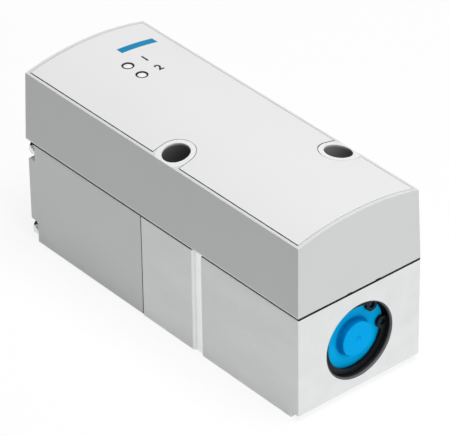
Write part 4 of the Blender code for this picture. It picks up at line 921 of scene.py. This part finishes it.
# %% Drilled holes
top = body_high.z + overrun
for x, y in wells:
    cut(body, turned("mount_hole", [(2.25 * mm, -overrun), (2.25 * mm, body_high.z - 0.2 * mm),
                                    (3.9 * mm, body_high.z - 0.2 * mm), (3.9 * mm, top)], (x, y, 0), (0, 0, 1), 64))
x, y = hood_screws[0]
cut(body, turned("hood_screw_hole", [(3.05 * mm, -overrun), (3.05 * mm, 3.6 * mm), (1.8 * mm, 3.6 * mm),
                                     (1.8 * mm, top)], (x, y, 0), (0, 0, 1), 48))
for y, z in block_screw_places:
    cut(body, rod("thread", 1.65 * mm, (joint_x - overrun, y, z), (joint_x + 5.9 * mm, y, z), 32))
cut(body, turned("sensing_well", [(0.9 * mm, bore_z), (0.9 * mm, body_high.z - 2 * mm), (3.2 * mm, body_high.z - 2 * mm),
                                  (3.2 * mm, top)], (ports["work"], 0, 0), (0, 0, 1), 32))
feed_y, feed_z = -11 * mm, body_high.z - 3.45 * mm
cut(body, rod("feed_passage", 0.9 * mm, (joint_x - overrun, feed_y, feed_z), (ports["supply"], feed_y, feed_z), 24),
    rod("feed_drop", 0.9 * mm, (ports["supply"], feed_y, bore_z), (ports["supply"], feed_y, top), 24),
    rod("ball_seat", 1.65 * mm, (ports["supply"], feed_y, body_high.z - 3.3 * mm), (ports["supply"], feed_y, top), 24),
    rod("seal_well", 2.2 * mm, (joint_x - overrun, feed_y, feed_z), (joint_x + 1.3 * mm, feed_y, feed_z), 24))
for name in ("board_spacer_1", "board_spacer_2"):
    low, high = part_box(name)
    centre = (low + high) / 2
    cut(body, rod("spacer_thread", 1.15 * mm, (centre.x, centre.y, body_high.z - 6.5 * mm), (centre.x, centre.y, top), 24))
smooth(mend(body))
coat(body, aluminium, replaced=["valve_body"])

# %% [markdown]
# ## The pilot block
#
# The pilot block is a grey moulding that carries the small valves. Its rear corners are notched for the heads
# of the clamping screws. Seen from outside it is a softly rounded block, and inside it keeps the pockets and
# the diaphragm's chamber, so that the valves still have their room.

# %% Pilot block
block_low, block_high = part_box("pilot_block")
block_top = body_high.z
tab_x = block_low.x + 3 * mm
pilot = block("pilot_housing", block_low, (block_high.x, block_high.y, block_top))
for side in (-1, 1):
    y_low, y_high = sorted((side * 15.8 * mm, side * 25 * mm))
    for z_low, z_high in ((-overrun, 7.2 * mm), (28.45 * mm, block_top + overrun)):
        cut(pilot, block("notch", (block_low.x - overrun, y_low, z_low), (tab_x, y_high, z_high)))
soften(pilot, 0.35 * mm, 3)
stem_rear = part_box("stem")[0].x
cut(pilot, rod("chamber", 12.5 * mm, (block_high.x - 6 * mm, 0, bore_z), (block_high.x + overrun, 0, bore_z), 96))
for valve in ("fill", "vent"):
    low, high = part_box(f"{valve}_valve_coil")
    x = (low.x + high.x) / 2
    pocket = block("pocket", (x - 7.3 * mm, -7.3 * mm, 10.25 * mm), (x + 7.3 * mm, 7.3 * mm, top))
    cut(pocket, rod("nozzle", 1.5 * mm, (x, 0, 9 * mm), (x, 0, 12.45 * mm), 32))
    cut(pilot, pocket, rod("nozzle_bore", 0.6 * mm, (x, 0, 6 * mm), (x, 0, 14 * mm), 16))
for y, z in block_screw_places:
    cut(pilot, rod("screw_hole", 1.8 * mm, (block_low.x - overrun, y, z), (block_high.x + overrun, y, z), 32))
x, y = hood_screws[1]
cut(pilot, turned("hood_screw_hole", [(3.05 * mm, -overrun), (3.05 * mm, 3.85 * mm), (1.8 * mm, 3.85 * mm),
                                      (1.8 * mm, top)], (x, y, 0), (0, 0, 1), 48))
for number in range(1, 5):
    low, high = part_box(f"board_screw_{number}")
    x, y = (low.x + high.x) / 2, (low.y + high.y) / 2
    if x < joint_x:
        join(pilot, rod("board_post", 2.4 * mm, (x, y, block_top - overrun), (x, y, block_high.z), 48))
        cut(pilot, rod("board_thread", 1.15 * mm, (x, y, block_high.z - 6.2 * mm), (x, y, block_high.z + overrun), 24))
smooth(pilot)
coat(pilot, block_plastic, replaced=["pilot_block"])

# %% [markdown]
# ## The end cap
#
# The cap is a turned blue plastic plug. Its boss rises from the face through a small hollow fillet, its edges
# are rounded, and a shallow gate mark sits in the middle, where the plastic entered the mould. Below its face
# runs the groove of the seal, and the tube on its inner side guides the poppet.

# %% End cap
face_x = near_x - 3.1 * mm
skirt_r = bore_r - seat_gap
base_x = near_x - 14.3 * mm
seal_low, seal_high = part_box("end_cap_seal")
boss_r, boss_x = 5.4 * mm, cap_high.x
cap = turned("blue_cap", [
    (4.2 * mm, cap_low.x), (4.2 * mm, base_x), (skirt_r, base_x),
    (skirt_r, seal_low.x - 0.3 * mm), (9.6 * mm, seal_low.x - 0.3 * mm), (9.6 * mm, seal_high.x + 0.3 * mm),
    (skirt_r, seal_high.x + 0.3 * mm),
    *arc_sections(skirt_r - 0.5 * mm, face_x - 0.5 * mm, 0.5 * mm, 0, 90),
    *arc_sections(boss_r + 0.75 * mm, face_x + 0.75 * mm, 0.75 * mm, 270, 180),
    *arc_sections(boss_r - 0.35 * mm, boss_x - 0.35 * mm, 0.35 * mm, 0, 90),
    (1.1 * mm, boss_x), (0.95 * mm, boss_x - 0.25 * mm), (0.45 * mm, boss_x - 0.25 * mm),
    (0.3 * mm, boss_x - 0.1 * mm)], (0, 0, bore_z), (1, 0, 0), 128)
poppet_low, poppet_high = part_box("poppet")
cut(cap, rod("guide_bore", 3.05 * mm, (cap_low.x - overrun, 0, bore_z), (poppet_high.x + 2.2 * mm, 0, bore_z), 64))
smooth(cap)
coat(cap, cap_plastic, replaced=["end_cap"])

# %% [markdown]
# The retaining ring snaps into a groove in front of the cap. It is stamped from black spring steel: a band with
# a gap, and at each side of the gap a round lug with a hole for the pliers.

# %% Retaining ring
ring_r = bore_r + 0.6 * mm - running_gap
ring_angles = (52.6, 2.4)
lug_place_r, lug_r = 10.2 * mm, 1.98 * mm
circlip = turned("retaining_ring", [(ring_r - 2.3 * mm, ring_low.x), (ring_r, ring_low.x), (ring_r, ring_high.x),
                                    (ring_r - 2.3 * mm, ring_high.x)], (0, 0, bore_z), (1, 0, 0), 128, ring=True)
gap = block("gap", (ring_low.x - overrun, 0, bore_z), (ring_high.x + overrun, 2 * ring_r, bore_z + 2 * ring_r))
half_lug = asin(lug_r / lug_place_r) / 3
for angle, side in ((radians(ring_angles[0]) - half_lug, 1), (radians(ring_angles[1]) + half_lug, -1)):
    slice_off(gap, (ring_low.x, 0, bore_z), (0, -sin(angle) * side, cos(angle) * side))
cut(circlip, gap)
lugs = [(lug_place_r * cos(radians(a)), bore_z + lug_place_r * sin(radians(a))) for a in ring_angles]
for y, z in lugs:
    join(circlip, rod("lug", lug_r, (ring_low.x, y, z), (ring_high.x, y, z), 64))
for y, z in lugs:
    cut(circlip, rod("lug_hole", 0.95 * mm, (ring_low.x - overrun, y, z), (ring_high.x + overrun, y, z), 48))
soften(circlip, 0.1 * mm, 2, 50)
smooth(circlip)
coat(circlip, ring_steel, replaced=["end_cap_ring"])

# %% [markdown]
# ## The screws
#
# Four long socket head screws clamp the blocks together, and two more hold the hood from below. One screw of
# each length is turned with a chamfered head and a hexagonal socket. Its grip is made by pulling every other
# row of points on the head a little inwards. The clamping screws are then copies of one another.

# %% Socket head screws
def make_screw(name, under_head, axis, length):
    head_r, head_height, shank_r = 2.75 * mm, 3.0 * mm, 1.5 * mm
    screw = turned(name, [
        (shank_r - 0.3 * mm, length), (shank_r, length - 0.4 * mm), (shank_r, 0), (head_r - 0.15 * mm, 0),
        (head_r, -0.15 * mm), (head_r, -head_height + 0.45 * mm), (head_r - 0.1 * mm, -head_height + 0.3 * mm),
        (head_r - 0.3 * mm, -head_height)], (0, 0, 0), (0, 0, 1), 72)
    step = 2 * pi / 72
    edit_points(screw, lambda place: place.xy.length > head_r - 0.02 * mm
                and round(atan2(place.y, place.x) / step) % 2 == 0)
    bpy.ops.transform.resize(value=(0.965, 0.965, 1), center_override=(0, 0, 0))
    bpy.ops.object.mode_set(mode="OBJECT")
    face = -head_height
    cut(screw, rod("socket", 1.443 * mm, (0, 0, face - mm), (0, 0, face + 1.4 * mm), 6),
        turned("countersink", [(1.75 * mm, face - 0.1 * mm), (1.3 * mm, face + 0.35 * mm)], (0, 0, 0), (0, 0, 1), 48))
    screw.rotation_euler = facing(axis)
    screw.location = under_head
    settle(name)
    smooth(screw, 28)
    return screw


under_head_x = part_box("block_screw_1")[0].x + 3 * mm
first_y, first_z = block_screw_places[0]
first_screw = make_screw("clamp_screw_1", (under_head_x, first_y, first_z), (1, 0, 0),
                         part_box("block_screw_1")[1].x - under_head_x)
screws = [first_screw] + [copy_of(first_screw, f"clamp_screw_{number}", (0, y - first_y, z - first_z))
                          for number, (y, z) in enumerate(block_screw_places[1:], 2)]
for number, screw in enumerate(screws, 1):
    coat(screw, steel, replaced=[f"block_screw_{number}"])
for number, (x, y) in enumerate(hood_screws, 1):
    low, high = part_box(f"cover_screw_{number}")
    screw = make_screw(f"hood_screw_{number}", (x, y, low.z + 3 * mm), (0, 0, 1), high.z - low.z - 3 * mm)
    coat(screw, steel, replaced=[f"cover_screw_{number}"])

# %% [markdown]
# ## The plug
#
# The round plug in the rear wall is a nickel plated shell with a coarse thread. It is turned as a closed ring
# section: along the bore, over the tail behind the wall, round the flange, and back over the thread's ridges.
# The insert inside it holds four gold pins and has a small key, so that the cable goes on only one way round.

# %% Plug shell
shell_low, shell_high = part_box("plug_shell")
plug_end, flange_rear = shell_low.x, shell_low.x + 7.95 * mm
flange_front = flange_rear + 1.8 * mm
plug_thread = []
place = plug_end + 0.35 * mm
while place < flange_rear - 1.6 * mm:
    plug_thread += [(5.95 * mm, place), (5.45 * mm, place + 0.42 * mm), (5.45 * mm, place + 0.5 * mm),
                    (5.95 * mm, place + 0.92 * mm)]
    place += 1.0 * mm
plug_thread.reverse()
seal_floor_x = flange_front - 0.85 * mm
shell = turned("plug_body", [
    (4.9 * mm, shell_high.x), (6.5 * mm, shell_high.x), (6.5 * mm, seal_floor_x), (7.8 * mm, seal_floor_x),
    (7.8 * mm, flange_front), (7.85 * mm, flange_front), (8.0 * mm, flange_front - 0.15 * mm),
    (8.0 * mm, flange_rear + 0.3 * mm), (7.7 * mm, flange_rear), (5.5 * mm, flange_rear), *plug_thread,
    (5.6 * mm, plug_end), (5.1 * mm, plug_end), (4.9 * mm, plug_end + 0.2 * mm)],
    (0, 0, plug_z), (1, 0, 0), 96, ring=True)
smooth(shell, 25)
coat(shell, nickel, replaced=["plug_shell"])

# %% Plug insert and pins
insert_low, insert_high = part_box("plug_insert")
insert = rod("plug_core", 4.75 * mm, (insert_low.x, 0, plug_z), (insert_high.x, 0, plug_z), 96)
soften(insert, 0.15 * mm, 2)
key = rod("key", 0.7 * mm, (insert_low.x - 6.5 * mm, 0, plug_z + 4.55 * mm), (insert_low.x + mm, 0, plug_z + 4.55 * mm), 32)
keep_within(key, rod("round", 4.75 * mm, (plug_end, 0, plug_z), (insert_high.x, 0, plug_z), 96))
pins = {}
for number in range(1, 5):
    low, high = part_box(f"plug_pin_{number}")
    pins[number] = ((low.y + high.y) / 2, high.z - 0.43 * mm, low, high)
for y, z, low, high in pins.values():
    cut(insert, rod("pin_hole", 0.65 * mm, (insert_low.x - mm, y, z), (insert_high.x + mm, y, z), 24))
join(insert, key)
smooth(insert)
coat(insert, insert_plastic, replaced=["plug_insert"])


def make_pin(number, y, z, low, high):
    """A round pin with a domed tip that bends down to the board behind the wall."""
    curve = bpy.data.curves.new(f"pin_{number}", "CURVE")
    curve.dimensions, curve.bevel_depth, curve.bevel_resolution, curve.use_fill_caps = "3D", 0.5 * mm, 6, True
    bend, drop_x = 1.0 * mm, high.x - 0.5 * mm
    tip = [(low.x, 0.3), (low.x + 0.08 * mm, 0.62), (low.x + 0.25 * mm, 0.88), (low.x + 0.5 * mm, 1.0)]
    turn = [(drop_x - bend + bend * sin(radians(a)), z - bend + bend * cos(radians(a))) for a in range(0, 91, 15)]
    points = ([(x, y, z, size) for x, size in tip] + [(x, y, level, 1.0) for x, level in turn]
              + [(drop_x, y, low.z, 1.0)])
    spline = curve.splines.new("POLY")
    spline.points.add(len(points) - 1)
    for point, (px, py, pz, size) in zip(spline.points, points):
        point.co = (px, py, pz, 1)
        point.radius = size
    pin = bpy.data.objects.new(f"pin_{number}", curve)
    bpy.context.scene.collection.objects.link(pin)
    clear_selection()
    pin.select_set(True)
    bpy.context.view_layer.objects.active = pin
    bpy.ops.object.convert(target="MESH")
    pin = mend(settle(f"pin_{number}"))
    smooth(pin)
    coat(pin, gold, replaced=[f"plug_pin_{number}"])


for number, place in pins.items():
    make_pin(number, *place)

# %% [markdown]
# ## The rubber inside
#
# Rubber rings seal the bore, the stem, the valves and the plug. They are moulded between two halves of a tool,
# which leaves a thin ridge of flash round the inside and the outside, and one function turns them all from the
# boxes of their solids.
#
# The diaphragm is a disc of rubber with one rolled fold. Its rim is clamped between the blocks and its centre on
# the stem. It is two pieces here, which slide past each other in the fold, so that the centre moves with the
# stem while the rim stays.

# %% Rings and diaphragm
def o_ring(node):
    low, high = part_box(node)
    size = high - low
    section_r, outer_r = min(size) / 2, max(size) / 2
    section = []
    for step in [0, *range(6, 175, 21), 180, *range(186, 355, 21)]:
        reach = section_r - (0 if step % 180 == 0 else 0.03 * mm)
        section.append((outer_r - section_r + reach * cos(radians(step)), reach * sin(radians(step))))
    axis = Vector([float(side == min(size)) for side in size])
    ring = turned(node.replace("seal", "o_ring"), section, (low + high) / 2, axis, 96, ring=True)
    coat(smooth(ring), seal_rubber, replaced=[node])


for node in ("end_cap_seal", "guide_seal_1", "guide_seal_2", "stem_seal_1", "stem_seal_2", "fill_valve_seal",
             "vent_valve_seal", "feed_seal", "sensor_seal", "plug_seal"):
    o_ring(node)


def rubber_disc(name, section, body):
    section = [(radius * mm, joint_x + height * mm) for radius, height in section]
    disc = turned(name, section, (0, 0, bore_z), (1, 0, 0), 96, ring=True)
    soften(disc, 0.08 * mm, 2)
    coat(smooth(disc), seal_rubber, body=body, replaced=["diaphragm"])


def fold(radius, angles):
    return [(10.26 + radius * cos(radians(angle)), radius * sin(radians(angle))) for angle in angles]


rubber_disc("diaphragm_rim", [(14.95, 0.9), (14.95, 0), (12.21, 0), *fold(1.95, range(-10, -131, -12)), (8.5, -1.2),
                              (8.33, -0.86), (9.3, -0.86), *fold(1.05, range(-120, 0, 20)), (11.31, 0.1),
                              (11.45, 0.9)], "housing")
rubber_disc("diaphragm_centre", [(1.56, 0.9), (1.56, 0), (8.06, 0), (8.06, -2.2), (8.26, -2.2), (8.26, 0),
                                 (9.3, 0), (9.45, 0.15), (9.45, 0.75), (9.3, 0.9)], "stem")

# %% [markdown]
# ## The springs
#
# Three springs push the poppet and the two plungers back. Each is a wire wound on a mandrel with its end turns closed,
# and its ends are ground flat. A spring is one piece that a moving part shortens.

# %% Springs
def make_spring(node, start, end, coil_r, wire_r, turns):
    start, end = Vector(start), Vector(end)
    length = (end - start).length
    climb = 2.05 * wire_r                       # of a closed end turn
    pitch = (length - wire_r - 1.5 * climb) / (turns - 1.5)
    curve = bpy.data.curves.new(node, "CURVE")
    curve.dimensions, curve.bevel_depth, curve.bevel_resolution, curve.use_fill_caps = "3D", wire_r, 4, True
    steps, height, points = round(turns * 32), 0.5 * wire_r, []
    for step in range(steps + 1):
        turn = step / 32
        points.append((coil_r * cos(2 * pi * turn), coil_r * sin(2 * pi * turn), height, 1))
        height += (climb if turn < 0.75 or turn >= turns - 0.75 else pitch) / 32
    spline = curve.splines.new("POLY")
    spline.points.add(steps)
    for point, place in zip(spline.points, points):
        point.co = place
    spring = bpy.data.objects.new(node, curve)
    bpy.context.scene.collection.objects.link(spring)
    clear_selection()
    spring.select_set(True)
    bpy.context.view_layer.objects.active = spring
    bpy.ops.object.convert(target="MESH")
    mend(spring)
    slice_off(spring, (0, 0, 0), (0, 0, -1))
    slice_off(spring, (0, 0, length), (0, 0, 1))
    spring.rotation_euler = facing(end - start)
    spring.location = start
    spring = settle(node + "_wire")
    smooth(spring)
    coat(spring, steel, replaced=[node])
    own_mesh(spring)


low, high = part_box("poppet_spring")
make_spring("poppet_spring", (low.x, 0, bore_z), (high.x, 0, bore_z), 5.1 * mm, 0.5 * mm, 5)
for valve in ("fill", "vent"):
    low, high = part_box(f"{valve}_valve_spring")
    x = (low.x + high.x) / 2
    make_spring(f"{valve}_valve_spring", (x, 0, low.z), (x, 0, high.z), 1.85 * mm, 0.25 * mm, 5)

# %% [markdown]
# ## Camera, floor and light
#
# The camera stands where the photographer's did, above the front corner and far off, with a long lens that
# keeps the edges nearly parallel. Its turn and place were worked out from the edges of the photograph.

# %% Camera
camera_data = bpy.data.cameras.new("camera")
camera_data.sensor_fit = "HORIZONTAL"
camera_data.sensor_width = 36
camera_data.lens = 291.73
camera = bpy.data.objects.new("camera", camera_data)
camera.location = Vector((662.9, -547.3, 607.9)) * mm
camera.rotation_euler = (radians(55.961), radians(0.7625), radians(49.825))
bpy.context.scene.collection.objects.link(camera)
bpy.context.scene.camera = camera
print("camera distance", round(camera.location.length / mm), "mm")

# %% [markdown]
# The floor is a large pale sheet. To the camera it is mostly white light with a little plain paint mixed in,
# so the background stays white and a soft shadow still grounds the object. To everything else it is a light
# grey floor, which sends a calm glow back up the front of the unit. The world does the same: white where it
# is looked at or mirrored, and a weaker even light otherwise.

# %% Floor and world
clear_selection()
bpy.ops.mesh.primitive_plane_add(size=6, location=(0, 0, -0.02 * mm))
floor = settle("floor")
floor_paint = Finish("floor_paint", (0.8, 0.8, 0.8), 0.9, Specular_IOR_Level=0.1)


def seen(finish):
    """1 for rays that look at a surface directly, in a mirror or through glass."""
    path = finish.tree.nodes.new("ShaderNodeLightPath")
    camera_ray, glossy_ray, through_ray = (Wire(finish, path.outputs[name]) for name in (
        "Is Camera Ray", "Is Glossy Ray", "Is Transmission Ray"))
    return camera_ray.math("MAXIMUM", glossy_ray).math("MAXIMUM", through_ray)


def shown_white(finish, light_share):
    """Send directly seen rays to a mix of white light and pale paint instead."""
    white = finish.node("ShaderNodeEmission", {}, {"Color": (1, 1, 1, 1), "Strength": 1.0})
    paint = finish.node("ShaderNodeBsdfDiffuse", {}, {"Color": (0.97, 0.97, 0.97, 1)})
    pale = finish.node("ShaderNodeMixShader", {}, {0: light_share, 1: paint, 2: white})
    plain = Wire(finish, finish.shader.outputs[0])
    both = finish.node("ShaderNodeMixShader", {}, {0: seen(finish), 1: plain, 2: pale})
    finish.tree.links.new(both.socket, finish.tree.nodes["Material Output"].inputs["Surface"])


shown_white(floor_paint, 0.85)
floor.data.materials.append(floor_paint.material)
floor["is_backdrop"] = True

world = bpy.data.worlds.new("studio")
world.use_nodes = True
bpy.context.scene.world = world
sky = Finish.__new__(Finish)
sky.tree = world.node_tree
even_light = 0.15
strength = sky.node("ShaderNodeMapRange", {}, {"Value": seen(sky), "To Min": even_light, "To Max": 1.0})
sky.feed(sky.tree.nodes["Background"].inputs["Color"], (1, 1, 1, 1))
sky.feed(sky.tree.nodes["Background"].inputs["Strength"], strength)

# %% [markdown]
# A large, soft lamp hangs over the unit and a weaker one stands before the blue cap. They give the top the most
# light, the end face somewhat less, and the long front face none, as in the photograph. A dark
# card at the rear left is there for the mirrors only, as the dark side of the room: it gives the shiny screw
# heads their dark edge.

# %% Lamps and dark card
def soft_box(name, direction, level, distance=1.6):
    """A square lamp. The level is the light on a surface that faces it, where 1 shows its colour as written."""
    direction = Vector(direction).normalized()
    data = bpy.data.lights.new(name, "AREA")
    data.shape = "SQUARE"
    data.size = 0.9
    data.energy = level * pi ** 2 * distance ** 2
    lamp = bpy.data.objects.new(name, data)
    lamp.location = direction * distance
    lamp.rotation_euler = facing(direction)
    bpy.context.scene.collection.objects.link(lamp)
    print(name, round(data.energy, 1), "W")


soft_box("top_light", (0.22, 0.05, 0.97), 0.845)
soft_box("end_light", (0.94, 0, 0.34), 0.234)
clear_selection()
bpy.ops.mesh.primitive_plane_add(size=1.2)
card = bpy.context.active_object
card.location = (-0.66, -0.62, 0.36)
card.scale = (1, 0.6, 1)
card.rotation_euler = facing((-0.73, -0.68, 0))
card = settle("dark_card")
card.data.materials.append(Finish("card_paper", (0.01, 0.01, 0.01), 0.9, Specular_IOR_Level=0).material)
card.visible_camera = card.visible_diffuse = card.visible_shadow = card.visible_transmission = False
card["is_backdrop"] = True
bpy.context.scene.view_settings.view_transform = "Standard"

# %% [markdown]
# Last, the box of the dressed unit is printed.

# %% Finish
low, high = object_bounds()
print("box of the dressed unit, in mm:", [round(v / mm, 2) for v in (*low, *high)])
